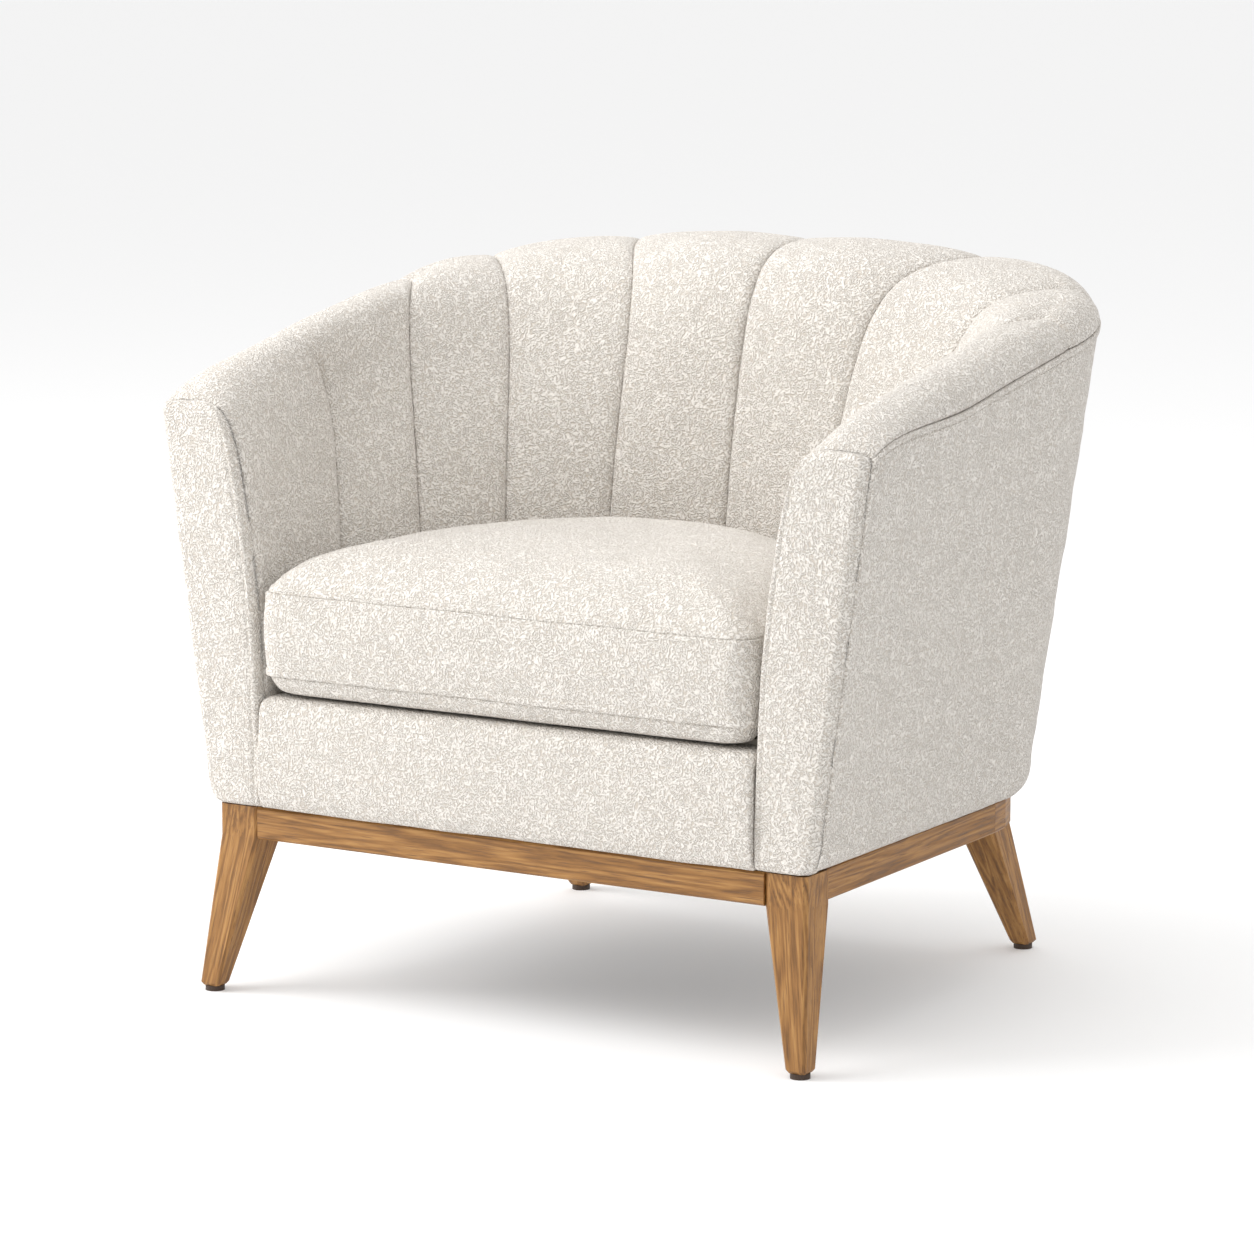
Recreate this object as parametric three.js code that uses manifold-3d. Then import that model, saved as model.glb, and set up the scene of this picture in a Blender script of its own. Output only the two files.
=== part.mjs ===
// Tub armchair: an oak rail ring on four tapered legs carries a hidden timber frame,
// ten padded vertical channels that roll over the rim, and a loose box seat cushion.
// Millimetres, +Z up, +X to the right as seen from the front, front facing -Y.
// Plan distances are set out from the line of the front feet (y = 0); the finished chair
// is then centred over its footprint.
import * as THREE from "three";
import { mergeVertices } from "three/addons/utils/BufferGeometryUtils.js";
import Module from "manifold-3d";

const wasm = await Module();
wasm.setup();

// ---- Driving dimensions -------------------------------------------------------------
const GAP = 0.4; // between touching pieces

const FLOOR = 0;
const GLIDE_HEIGHT = 5.5;
const GLIDE_RADIUS = 10;
const RAIL_BOTTOM = 161;
const RAIL_TOP = 194.5;
const RAIL_THICKNESS = 24;
const RAIL_FRONT = 11; // front face of the oak rail
const RAIL_HALF_FRONT = 340; // outer face of the side rail behind the front leg
const RAIL_HALF_REAR = 333; // outer face of the side rail where the rear corner starts
const CORNER_Y = 428; // centre of the rounded rear corner
const CORNER_RADIUS = 147;
const CORNER_X = RAIL_HALF_REAR - CORNER_RADIUS;
const EASED_EDGE = 2.5;

const LEG_TOP_SIZE = 47;
const LEG_FOOT_SIZE = 23;
const FRONT_LEG_TOP = [322.5, RAIL_FRONT + LEG_TOP_SIZE / 2];
const FRONT_FOOT = [346.5, 0];
const REAR_LEG_TOP = [250, 525];
const REAR_FOOT = [278, 603];

const SEAT_FRAME_TOP = 290;
const SEAT_FRAME_BOTTOM = RAIL_TOP + GAP;
const BOARD = 22; // thickness of the hidden frame timber
const SEAT_FRAME_HALF = 296; // inner face of the side members
const SEAT_FRAME_REAR = 459;
const WEB_THICKNESS = 2;
const WEB_WIDTH = 70;
const DUST_THICKNESS = 1.2;

const WALL_FRONT = 16.4; // where the arm walls start, behind the front panels
const PANEL_FRONT = 4; // face of the arm front panels
const BASE_Z = 295.4; // foot of the channels
const SEAT_HALF = 291; // inner half width at the foot of the arms
const SEAT_BACK = 434; // inner face at the foot of the centre back
const SEAT_SQUARENESS = 2.2; // superellipse power of the seat well
const SHOULDER_HALF = 305; // inner half width where the rim starts to roll
const SHOULDER_BACK = 470;
const SHOULDER_FLARE = 0.13; // extra half width for each mm further back
const SHOULDER_SQUARENESS = 2.9;
const SHOULDER_DROP = 130; // below the crest

const BACK_HEIGHT = 744.5; // crest at the centre back
const ARM_FALL = 124.5; // from the centre back to the arm fronts
const ARM_FALL_POWER = 1.7;
const ARM_NOSE_DIP = 11;
const ARM_NOSE_LENGTH = 26;
const CREST_OFFSET_FRONT = 30; // crest outside the oak rail
const CREST_OFFSET_CORNER = 48;
const CREST_OFFSET_BACK = 26;
const SEAM_DROP_FRONT = 8; // outer seam below the crest
const SEAM_DROP_BACK = 30;
const ROLL_RISE = 0.85; // fullness of the roll inside the crest and above the shoulder
const ROLL_REACH = 0.6;
const ROLL_OVER = 0.55; // and between the crest and the outer seam
const FLARE_AT_TUCK = 21; // outer cover outside the oak rail
const FLARE_SLOPE = 0.139;
const TUCK_TOP = 233;
const TUCK_BOTTOM = RAIL_TOP + 1;
const TUCK_INSET = 17;
const COVER = 8; // outer cover with its padding
const PAD_ARM = 30; // channel stuffing
const PAD_BACK = 52;
const PUFF = 7; // crown of a channel between its seams
const BACK_COVER_ANGLE = 60; // joint between the side and back covers, round the corner

// Channel seams from the arm front to the centre back:
// angle round the seat well, angle at the shoulder (degrees), fraction along the rim.
const SEAMS = [
  new THREE.Vector3(0, 0, 0),
  new THREE.Vector3(16.5, 15, 0.15),
  new THREE.Vector3(32, 33, 0.43),
  new THREE.Vector3(47.5, 54, 0.575),
  new THREE.Vector3(67, 76, 0.775),
  new THREE.Vector3(90, 90, 1),
];
const CHANNELS_PER_SIDE = SEAMS.length - 1;

const BORDER_HALF = 285;
const BORDER_TOP = 308;
const BORDER_PAD = 21;

const DECK_TOP = 316.8;
const CUSHION_BOTTOM = DECK_TOP + GAP;
const CUSHION_SEAM_TOP = 419;
const CUSHION_CROWN = 477;
const CROWN_POWER = 0.65;
const CUSHION_HALF = 286;
const CUSHION_FRONT = 1;
const CUSHION_BACK = 428;
const CUSHION_CORNER = 24;
const CUSHION_SKIN = 12; // fibre wrap and cover over the foam core

const BOLT_RADIUS = 4;
const BOLT_HEAD_RADIUS = 7;
const BOLT_HEAD_HEIGHT = 5.5;
const BOLT_Z = 178;
const BLOCK_BOTTOM = 166;
const BLOCK_TOP = 190;

// ---- Materials ----------------------------------------------------------------------
const finish = (color, roughness, metalness = 0) =>
  new THREE.MeshStandardMaterial({ color, roughness, metalness });
const FABRIC = finish(0xe2dfda, 0.95);
const OAK = finish(0xb9854f, 0.5);
const PLYWOOD = finish(0xd2b48c, 0.7);
const FOAM = finish(0xefe6c4, 0.9);
const WEBBING = finish(0x4a4038, 0.85);
const DUST_CLOTH = finish(0x26262a, 0.95);
const NYLON = finish(0x3a2a20, 0.6);
const STEEL = finish(0xb5b8bc, 0.35, 0.9);

// ---- Solid helpers ------------------------------------------------------------------
const vec = (x, y, z) => new THREE.Vector3(x, y, z);
const smooth = (t) => THREE.MathUtils.smoothstep(t, 0, 1);
const lerp = THREE.MathUtils.lerp;
const steps = (count, from = 0, to = 1) =>
  Array.from({ length: count + 1 }, (_, i) => lerp(from, to, i / count));

function signedVolume(corners) {
  let sum = 0;
  for (let i = 0; i < corners.length; i += 3)
    sum += corners[i].dot(corners[i + 1].clone().cross(corners[i + 2]));
  return sum / 6;
}

// A closed solid from a list of triangle corners, turned so that its faces point out.
function solid(corners) {
  const faces = signedVolume(corners) < 0 ? corners.slice().reverse() : corners;
  return new THREE.BufferGeometry().setFromPoints(faces);
}

function quad(corners, a, b, c, d) {
  corners.push(a, b, c, a, c, d);
}

// Closed rings of equal length joined into a solid, with flat fan caps.
function loft(rings) {
  const corners = [];
  const count = rings[0].length;
  for (let r = 0; r + 1 < rings.length; r++)
    for (let i = 0; i < count; i++) {
      const j = (i + 1) % count;
      quad(corners, rings[r][i], rings[r][j], rings[r + 1][j], rings[r + 1][i]);
    }
  const last = rings[rings.length - 1];
  for (let i = 1; i + 1 < count; i++) {
    corners.push(rings[0][0], rings[0][i + 1], rings[0][i]);
    corners.push(last[0], last[i], last[i + 1]);
  }
  return solid(corners);
}

// Two matching grids of points, face and back, closed along their edges.
function pad(face, back) {
  const corners = [];
  const columns = face.length - 1;
  const rows = face[0].length - 1;
  for (let i = 0; i < columns; i++)
    for (let j = 0; j < rows; j++) {
      quad(corners, face[i][j], face[i + 1][j], face[i + 1][j + 1], face[i][j + 1]);
      quad(corners, back[i][j], back[i][j + 1], back[i + 1][j + 1], back[i + 1][j]);
    }
  for (let i = 0; i < columns; i++) {
    quad(corners, face[i][0], back[i][0], back[i + 1][0], face[i + 1][0]);
    quad(corners, face[i + 1][rows], back[i + 1][rows], back[i][rows], face[i][rows]);
  }
  for (let j = 0; j < rows; j++) {
    quad(corners, face[0][j], face[0][j + 1], back[0][j + 1], back[0][j]);
    quad(corners, face[columns][j], back[columns][j], back[columns][j + 1], face[columns][j + 1]);
  }
  return solid(corners);
}

// A plan outline extruded upwards.
function prism(outline, bottom, top) {
  const shape = new THREE.Shape(outline.map(([x, y]) => new THREE.Vector2(x, y)));
  const body = new THREE.ExtrudeGeometry(shape, { depth: top - bottom, bevelEnabled: false });
  return body.translate(0, 0, bottom);
}

function block(x0, x1, y0, y1, z0, z1) {
  const box = new THREE.BoxGeometry(x1 - x0, y1 - y0, z1 - z0);
  return box.translate((x0 + x1) / 2, (y0 + y1) / 2, (z0 + z1) / 2);
}

function toManifold(geometry) {
  const bare = geometry.clone();
  bare.deleteAttribute("normal");
  bare.deleteAttribute("uv");
  const merged = mergeVertices(bare, 1e-3);
  const index = merged.index.array;
  return new wasm.Manifold(
    new wasm.Mesh({
      numProp: 3,
      vertProperties: merged.attributes.position.array,
      triVerts: new Uint32Array(index),
    }),
  );
}

function cut(geometry, ...tools) {
  let body = toManifold(geometry);
  for (const tool of tools) body = body.subtract(toManifold(tool));
  const mesh = body.getMesh();
  return new THREE.BufferGeometry()
    .setAttribute("position", new THREE.BufferAttribute(mesh.vertProperties, 3))
    .setIndex(new THREE.BufferAttribute(mesh.triVerts, 1));
}

// ---- The chair's plan and rim -------------------------------------------------------
const COVER_OFFSET = 73; // typical distance of the outer seam outside the rail
const SIDE_LENGTH = CORNER_Y - WALL_FRONT;
const CORNER_LENGTH = ((CORNER_RADIUS + COVER_OFFSET) * Math.PI) / 2;
const RIM_LENGTH = SIDE_LENGTH + CORNER_LENGTH + CORNER_X;
const CORNER_START = SIDE_LENGTH / RIM_LENGTH;
const CORNER_END = (SIDE_LENGTH + CORNER_LENGTH) / RIM_LENGTH;
const cornerFraction = (degrees) => lerp(CORNER_START, CORNER_END, degrees / 90);

// Plan point at a fraction of the right half of the rim, offset outside the rail.
function rim(fraction, offset) {
  const along = fraction * RIM_LENGTH;
  const angle = (along - SIDE_LENGTH) / (CORNER_RADIUS + COVER_OFFSET);
  if (angle <= 0) {
    const t = along / SIDE_LENGTH;
    return [lerp(RAIL_HALF_FRONT, RAIL_HALF_REAR, t) + offset, WALL_FRONT + along];
  }
  const radius = CORNER_RADIUS + offset;
  if (angle < Math.PI / 2)
    return [CORNER_X + radius * Math.cos(angle), CORNER_Y + radius * Math.sin(angle)];
  return [(1 - fraction) * RIM_LENGTH, CORNER_Y + radius];
}

function crest(fraction) {
  const nose = Math.exp((-fraction * RIM_LENGTH) / ARM_NOSE_LENGTH);
  return BACK_HEIGHT - ARM_FALL * (1 - fraction) ** ARM_FALL_POWER - ARM_NOSE_DIP * nose;
}

// Where the crest lies outside the rail: further out round the rear corner.
const crestOffset = (fraction) =>
  fraction < CORNER_START
    ? lerp(CREST_OFFSET_FRONT, CREST_OFFSET_CORNER, smooth(fraction / CORNER_START))
    : lerp(
        CREST_OFFSET_CORNER,
        CREST_OFFSET_BACK,
        smooth((fraction - CORNER_START) / (1 - CORNER_START)),
      );

// The outer seam drops to its full depth half way along the arm.
const outerSeam = (fraction) =>
  crest(fraction) -
  lerp(SEAM_DROP_FRONT, SEAM_DROP_BACK, smooth((2 * fraction) / CORNER_START));

// How far the outer cover stands outside the rail at a height, with its tucked hem.
function flare(z) {
  if (z >= TUCK_TOP) return FLARE_AT_TUCK + FLARE_SLOPE * (z - TUCK_TOP);
  const t = (TUCK_TOP - z) / (TUCK_TOP - TUCK_BOTTOM);
  return FLARE_AT_TUCK - TUCK_INSET * (1 - Math.sqrt(Math.max(0, 1 - t * t)));
}

function superellipse(half, depth, power, degrees) {
  const angle = THREE.MathUtils.degToRad(degrees);
  const c = Math.max(0, Math.cos(angle)) ** (2 / power);
  const s = Math.max(0, Math.sin(angle)) ** (2 / power);
  return [half * c, WALL_FRONT + depth * s];
}

const seamLine = new THREE.CatmullRomCurve3(SEAMS, false, "catmullrom");
const alongSeams = (t) => seamLine.getPoint(t).min(SEAMS.at(-1));

// The four control points of the wall section at a station (0 arm front, 5 centre back).
function section(station) {
  const { x: seatAngle, y: shoulderAngle, z: fraction } = alongSeams(station / CHANNELS_PER_SIDE);
  const top = crest(fraction);
  const seam = outerSeam(fraction);
  const foot = superellipse(SEAT_HALF, SEAT_BACK - WALL_FRONT, SEAT_SQUARENESS, seatAngle);
  const shoulder = superellipse(
    SHOULDER_HALF,
    SHOULDER_BACK - WALL_FRONT,
    SHOULDER_SQUARENESS,
    shoulderAngle,
  );
  shoulder[0] *= 1 + (SHOULDER_FLARE * (shoulder[1] - WALL_FRONT)) / SHOULDER_HALF;
  return {
    fraction,
    foot: vec(...foot, BASE_Z),
    shoulder: vec(...shoulder, top - SHOULDER_DROP),
    crest: vec(...rim(fraction, crestOffset(fraction)), top),
    seam: vec(...rim(fraction, flare(seam)), seam),
  };
}

// The sewn skin of the wall: v 0 to 1 up the seat side, 1 to 2 into the roll, 2 to 3 over
// the crest and down to the outer seam.
function skin(station, v) {
  const s = section(station);
  if (v <= 1) {
    const p = s.foot.clone().lerp(s.shoulder, v * v);
    p.z = lerp(s.foot.z, s.shoulder.z, v);
    return p;
  }
  const up = vec(0, 0, 1);
  if (v <= 2) {
    const lean = s.shoulder.clone().sub(s.foot).multiplyScalar(2 / (s.shoulder.z - s.foot.z));
    lean.z = 1;
    const inward = s.shoulder.clone().sub(s.crest).setZ(0);
    return new THREE.CubicBezierCurve3(
      s.shoulder,
      s.shoulder.clone().addScaledVector(lean, ROLL_RISE * SHOULDER_DROP),
      s.crest.clone().addScaledVector(inward, ROLL_REACH),
      s.crest,
    ).getPoint(v - 1);
  }
  const outward = s.seam.clone().sub(s.crest).setZ(0);
  return new THREE.CubicBezierCurve3(
    s.crest,
    s.crest.clone().addScaledVector(outward, ROLL_OVER),
    s.seam.clone().addScaledVector(up, 0.6 * (s.crest.z - s.seam.z)),
    s.seam,
  ).getPoint(v - 2);
}

// The way from the skin into the stuffing: outwards low down, downwards at the crest,
// inwards at the outer seam.
const TURN_START = 0.7; // in v

function depthways(station, v) {
  const s = section(station);
  const outward = s.crest.clone().sub(s.foot).setZ(0).normalize();
  const turn = (Math.PI * Math.max(0, v - TURN_START)) / (3 - TURN_START);
  return outward.multiplyScalar(Math.cos(turn)).setZ(-Math.sin(turn));
}

function stuffing(station, v) {
  const { fraction } = section(station);
  const depth = lerp(PAD_ARM, PAD_BACK, smooth((fraction - 0.2) / 0.5));
  return v <= 1 ? depth : lerp(depth, 14, smooth((v - 1) / 2));
}

// ---- Upholstery ---------------------------------------------------------------------
const ROW = [0, 0.35, 0.7, 1, 1.3, 1.55, 1.8, 2.05, 2.3, 2.6, 3];
const SEAM_HALF_GAP = 0.004; // of a channel's width
const COLUMNS = 4; // across each channel

function channel(index) {
  const face = [];
  const back = [];
  for (const u of steps(COLUMNS)) {
    const station = lerp(index + SEAM_HALF_GAP, index + 1 - SEAM_HALF_GAP, u);
    const bulge = (1 - (2 * u - 1) ** 2) * PUFF;
    face.push([]);
    back.push([]);
    for (const v of ROW) {
      const inward = depthways(station, v);
      const crown = bulge * Math.min(1, v) * smooth((3 - v) / 0.8);
      const point = skin(station, v);
      face.at(-1).push(point.clone().addScaledVector(inward, -crown));
      back.at(-1).push(point.clone().addScaledVector(inward, stuffing(station, v)));
    }
  }
  return pad(face, back);
}

// The section of the arm wall at its front end, from the hem up over the crest and down.
function armOutline(inset) {
  const seat = ROW.map((v) => skin(0, v).addScaledVector(depthways(0, v), inset));
  const outer = [560, 480, 400, 320, TUCK_TOP, 214, 204, TUCK_BOTTOM + inset].map((z) =>
    vec(rim(0, flare(z) - inset)[0], WALL_FRONT, z),
  );
  const foot = vec(SEAT_HALF - 5 + inset, WALL_FRONT, TUCK_BOTTOM + inset);
  return [foot, ...seat, ...outer];
}

function armFrontPanel() {
  const bevel = 3;
  const outline = armOutline(bevel).map((p) => new THREE.Vector2(p.x, p.z));
  const body = new THREE.ExtrudeGeometry(new THREE.Shape(outline), {
    depth: WALL_FRONT - GAP - PANEL_FRONT - 2 * bevel,
    bevelThickness: bevel,
    bevelSize: bevel,
    bevelSegments: 2,
  });
  return body.rotateX(Math.PI / 2).translate(0, WALL_FRONT - GAP - bevel, 0);
}

const COVER_LEVELS = [0, 0.2, 0.4, 0.6, 0.8, 1];
const HEM_LEVELS = [0.35, 0.65, 0.88, 1];

function coverPanel(columns) {
  const face = [];
  const back = [];
  for (const { side, fraction } of columns) {
    const top = outerSeam(fraction) - GAP;
    const heights = [
      ...COVER_LEVELS.map((t) => lerp(top, TUCK_TOP, t)),
      ...HEM_LEVELS.map((t) => lerp(TUCK_TOP, TUCK_BOTTOM, t)),
    ];
    const column = (offset) =>
      heights.map((z) => {
        const [x, y] = rim(fraction, flare(z) - offset);
        return vec(side * x, y, z);
      });
    face.push(column(0));
    back.push(column(COVER));
  }
  return pad(face, back);
}

const COVER_JOINT = cornerFraction(BACK_COVER_ANGLE);
const JOINT_HALF_GAP = 0.0003;
const columnFractions = steps(CHANNELS_PER_SIDE * COLUMNS).map((t) => alongSeams(t).z);

function outsideArm() {
  const along = columnFractions.filter((f) => f < COVER_JOINT - 0.01);
  const columns = [...along, COVER_JOINT - JOINT_HALF_GAP];
  return coverPanel(columns.map((fraction) => ({ side: 1, fraction })));
}

function outsideBack() {
  const along = columnFractions.filter((f) => f > COVER_JOINT + 0.01);
  const half = [COVER_JOINT + JOINT_HALF_GAP, ...along];
  const rightHalf = half.map((fraction) => ({ side: 1, fraction }));
  const leftHalf = half.map((fraction) => ({ side: -1, fraction })).reverse();
  return coverPanel([...rightHalf, ...leftHalf.slice(1)]);
}

// The padded band over the front of the seat frame, wrapped back over its top edge.
function frontBorder() {
  const profile = new THREE.Shape();
  const rear = BORDER_PAD + GAP + BOARD;
  profile.moveTo(BORDER_PAD, TUCK_BOTTOM);
  profile.lineTo(7, TUCK_BOTTOM);
  profile.quadraticCurveTo(1, 202, 0, 225);
  profile.lineTo(0, BORDER_TOP - 18);
  profile.quadraticCurveTo(1, BORDER_TOP, 20, BORDER_TOP);
  profile.lineTo(rear, BORDER_TOP);
  profile.lineTo(rear, BASE_Z);
  profile.lineTo(BORDER_PAD, BASE_Z);
  const body = new THREE.ExtrudeGeometry(profile, {
    depth: 2 * BORDER_HALF,
    bevelEnabled: false,
    curveSegments: 4,
  });
  return body.rotateX(Math.PI / 2).rotateZ(Math.PI / 2).translate(-BORDER_HALF, 0, 0);
}

// ---- Seat cushion -------------------------------------------------------------------
// Plan of the cushion, inset evenly: straight front, round front corners, and a back
// that follows the seat well.
function cushionPlan(inset) {
  const half = CUSHION_HALF - inset;
  const corner = CUSHION_CORNER - inset;
  const front = CUSHION_FRONT + inset;
  const shoulderY = CUSHION_FRONT + CUSHION_CORNER;
  const right = steps(4).map((t) => {
    const angle = (t * Math.PI) / 2;
    return [
      half - corner + corner * Math.sin(angle),
      front + corner - corner * Math.cos(angle),
    ];
  });
  for (const t of steps(9).slice(1)) {
    const angle = (t * Math.PI) / 2;
    const depth = CUSHION_BACK - inset - shoulderY;
    right.push([
      half * Math.max(0, Math.cos(angle)) ** (2 / SEAT_SQUARENESS),
      shoulderY + depth * Math.sin(angle) ** (2 / SEAT_SQUARENESS),
    ]);
  }
  const left = right
    .slice(0, -1)
    .reverse()
    .map(([x, y]) => [-x, y]);
  return [...right, ...left];
}

const planRing = (inset, z) => cushionPlan(inset).map(([x, y]) => vec(x, y, z));

// The cushion's plan drawn in towards its middle.
function domeRing(scale) {
  const middle = vec(0, (CUSHION_FRONT + CUSHION_BACK) / 2, 0);
  const rise = CUSHION_CROWN - CUSHION_SEAM_TOP - GAP;
  return planRing(2, 0).map((p) =>
    p
      .sub(middle)
      .multiplyScalar(scale)
      .add(middle)
      .setZ(CUSHION_SEAM_TOP + GAP + rise * (1 - scale ** 4) ** CROWN_POWER),
  );
}

function cushionTop() {
  return loft([
    planRing(CUSHION_SKIN + GAP, CUSHION_SEAM_TOP - CUSHION_SKIN + GAP),
    planRing(CUSHION_SKIN + GAP, CUSHION_SEAM_TOP + GAP),
    ...[1, 0.97, 0.9, 0.75, 0.5, 0.25].map(domeRing),
  ]);
}

function cushionBoxing() {
  const top = CUSHION_SEAM_TOP;
  const bottom = CUSHION_BOTTOM + CUSHION_SKIN;
  const rings = [
    planRing(CUSHION_SKIN - GAP, bottom),
    planRing(3, bottom),
    planRing(0, bottom + 12),
    planRing(0, top - 12),
    planRing(3, top),
    planRing(CUSHION_SKIN - GAP, top),
  ];
  const corners = [];
  rings.forEach((ring, r) => {
    const next = rings[(r + 1) % rings.length];
    ring.forEach((p, i) => {
      const j = (i + 1) % ring.length;
      quad(corners, p, ring[j], next[j], next[i]);
    });
  });
  return solid(corners);
}

// ---- Timber, webbing and hardware ---------------------------------------------------
// A bar that follows the rim, with eased edges.
function rimBar(fractions, offset, bottom, top, ease) {
  return loft(
    fractions.map((fraction) => {
      const z0 = bottom(fraction);
      const z1 = top(fraction);
      const [inner, outer] = offset;
      return [
        [inner, z0 + ease],
        [inner + ease, z0],
        [outer - ease, z0],
        [outer, z0 + ease],
        [outer, z1 - ease],
        [outer - ease, z1],
        [inner + ease, z1],
        [inner, z1 - ease],
      ].map(([d, z]) => vec(...rim(fraction, d), z));
    }),
  );
}

const railSection = [-RAIL_THICKNESS, 0];
const railAlong = (fractions) =>
  rimBar(fractions, railSection, () => RAIL_BOTTOM, () => RAIL_TOP, EASED_EDGE);

const fractionAtY = (y) => (y - WALL_FRONT) / RIM_LENGTH;
const RAIL_JOINT = GAP / 2 / RIM_LENGTH;

function sideRail() {
  const legBack = RAIL_FRONT + LEG_TOP_SIZE + GAP;
  return railAlong([fractionAtY(legBack), CORNER_START - RAIL_JOINT]);
}

const cornerRail = () => railAlong(steps(8, CORNER_START + RAIL_JOINT, CORNER_END - RAIL_JOINT));

function straightRail(half, y) {
  const ends = [-half, half];
  return loft(
    ends.map((x) => [
      vec(x, y + EASED_EDGE, RAIL_BOTTOM),
      vec(x, y + RAIL_THICKNESS - EASED_EDGE, RAIL_BOTTOM),
      vec(x, y + RAIL_THICKNESS, RAIL_BOTTOM + EASED_EDGE),
      vec(x, y + RAIL_THICKNESS, RAIL_TOP - EASED_EDGE),
      vec(x, y + RAIL_THICKNESS - EASED_EDGE, RAIL_TOP),
      vec(x, y + EASED_EDGE, RAIL_TOP),
      vec(x, y, RAIL_TOP - EASED_EDGE),
      vec(x, y, RAIL_BOTTOM + EASED_EDGE),
    ]),
  );
}

// A square leg section with its long edges taken off.
function legRing([x, y], size, chamfer, z) {
  const h = size / 2;
  const k = h - chamfer;
  return [
    [h, k],
    [k, h],
    [-k, h],
    [-h, k],
    [-h, -k],
    [-k, -h],
    [k, -h],
    [h, -k],
  ].map(([dx, dy]) => vec(x + dx, y + dy, z));
}

const alongLeg = (top, foot, t) => [lerp(top[0], foot[0], t), lerp(top[1], foot[1], t)];

// Straight through the rail, then tapering to the foot.
function legBody(top, foot, grow = 0) {
  const footZ = GLIDE_HEIGHT + 0.2;
  const drop = (z) => (RAIL_TOP - z) / (RAIL_TOP - footZ);
  const raked = top === REAR_LEG_TOP;
  const atRail = raked ? alongLeg(top, foot, drop(RAIL_BOTTOM)) : top;
  return loft([
    legRing(foot, LEG_FOOT_SIZE - 5 + grow, 2, footZ),
    legRing(foot, LEG_FOOT_SIZE + grow, 3, footZ + 3),
    legRing(atRail, LEG_TOP_SIZE + grow, 4, RAIL_BOTTOM),
    legRing(top, LEG_TOP_SIZE + grow, 4, RAIL_TOP),
  ]);
}

function rod(radius, from, direction, length, sides) {
  const body = new THREE.CylinderGeometry(radius, radius, length, sides);
  const turn = new THREE.Quaternion().setFromUnitVectors(vec(0, 1, 0), direction);
  const middle = from.clone().addScaledVector(direction, length / 2);
  return body.applyQuaternion(turn).translate(middle.x, middle.y, middle.z);
}

function hexBolt(seat, direction, length) {
  const head = rod(BOLT_HEAD_RADIUS, seat, direction.clone().negate(), BOLT_HEAD_HEIGHT, 6);
  const shank = rod(BOLT_RADIUS, seat.clone().addScaledVector(direction, -1), direction, length + 1, 10);
  const mesh = toManifold(head).add(toManifold(shank)).getMesh();
  return new THREE.BufferGeometry()
    .setAttribute("position", new THREE.BufferAttribute(mesh.vertProperties, 3))
    .setIndex(new THREE.BufferAttribute(mesh.triVerts, 1));
}

// Front joint: a notched corner block behind the leg, bolted diagonally.
const FRONT_AXIS = vec(1, -1, 0).normalize();
const FRONT_BLOCK_LEG = 96; // length of the block along each rail
const FRONT_BLOCK_INNER = [RAIL_HALF_FRONT - 2 - RAIL_THICKNESS, RAIL_FRONT + RAIL_THICKNESS];
const FRONT_BOLT_SEAT = vec(
  FRONT_BLOCK_INNER[0] - FRONT_BLOCK_LEG / 2 - GAP,
  FRONT_BLOCK_INNER[1] + FRONT_BLOCK_LEG / 2 + GAP,
  BOLT_Z,
);
const FRONT_BOLT_LENGTH = 78;

function frontCornerBlock(hole) {
  const [x, y] = FRONT_BLOCK_INNER;
  const body = prism(
    [
      [x - FRONT_BLOCK_LEG, y + GAP],
      [x - GAP, y + GAP],
      [x - GAP, y + FRONT_BLOCK_LEG],
    ],
    BLOCK_BOTTOM,
    BLOCK_TOP,
  );
  return cut(body, legBody(FRONT_LEG_TOP, FRONT_FOOT, 2 * GAP), hole);
}

// Rear joint: a block inside the rounded corner, notched over the raked leg.
const REAR_BLOCK_FROM = 18;
const REAR_BLOCK_TO = 88;
const REAR_BLOCK_CHORD = 85;
const REAR_AXIS_ANGLE = THREE.MathUtils.degToRad((REAR_BLOCK_FROM + REAR_BLOCK_TO) / 2);
const REAR_AXIS = vec(Math.cos(REAR_AXIS_ANGLE), Math.sin(REAR_AXIS_ANGLE), 0);
const REAR_INNER_RADIUS = CORNER_RADIUS - RAIL_THICKNESS - 3 * GAP;
const REAR_BOLT_LENGTH = 52;

const cornerPoint = (radius, degrees) => {
  const angle = THREE.MathUtils.degToRad(degrees);
  return [CORNER_X + radius * Math.cos(angle), CORNER_Y + radius * Math.sin(angle)];
};

const REAR_BOLT_SEAT = (() => {
  const halfSpan = THREE.MathUtils.degToRad((REAR_BLOCK_TO - REAR_BLOCK_FROM) / 2);
  const radius = REAR_BLOCK_CHORD * Math.cos(halfSpan) - GAP;
  return vec(CORNER_X, CORNER_Y, BOLT_Z).addScaledVector(REAR_AXIS, radius);
})();

function rearCornerBlock(hole) {
  const arc = steps(7, REAR_BLOCK_FROM, REAR_BLOCK_TO).map((a) =>
    cornerPoint(REAR_INNER_RADIUS, a),
  );
  const chord = [REAR_BLOCK_TO, REAR_BLOCK_FROM].map((a) => cornerPoint(REAR_BLOCK_CHORD, a));
  const body = prism([...arc, ...chord], BLOCK_BOTTOM, BLOCK_TOP);
  return cut(body, legBody(REAR_LEG_TOP, REAR_FOOT, 2 * GAP), hole);
}

// Everything outside the inner face of the corner rail, over the rail's height.
function cornerRailRoom() {
  const arc = steps(14, -20, 110).map((a) => cornerPoint(REAR_INNER_RADIUS, a));
  const far = steps(6, 110, -20).map((a) => cornerPoint(CORNER_RADIUS * 1.6, a));
  return prism([...arc, ...far], RAIL_BOTTOM - GAP, RAIL_TOP + 5);
}

const TOP_RAIL_OFFSET = [30, 50];
const TOP_RAIL_HEAD = 50; // below the crest
const TOP_RAIL_FOOT = 92;

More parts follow.
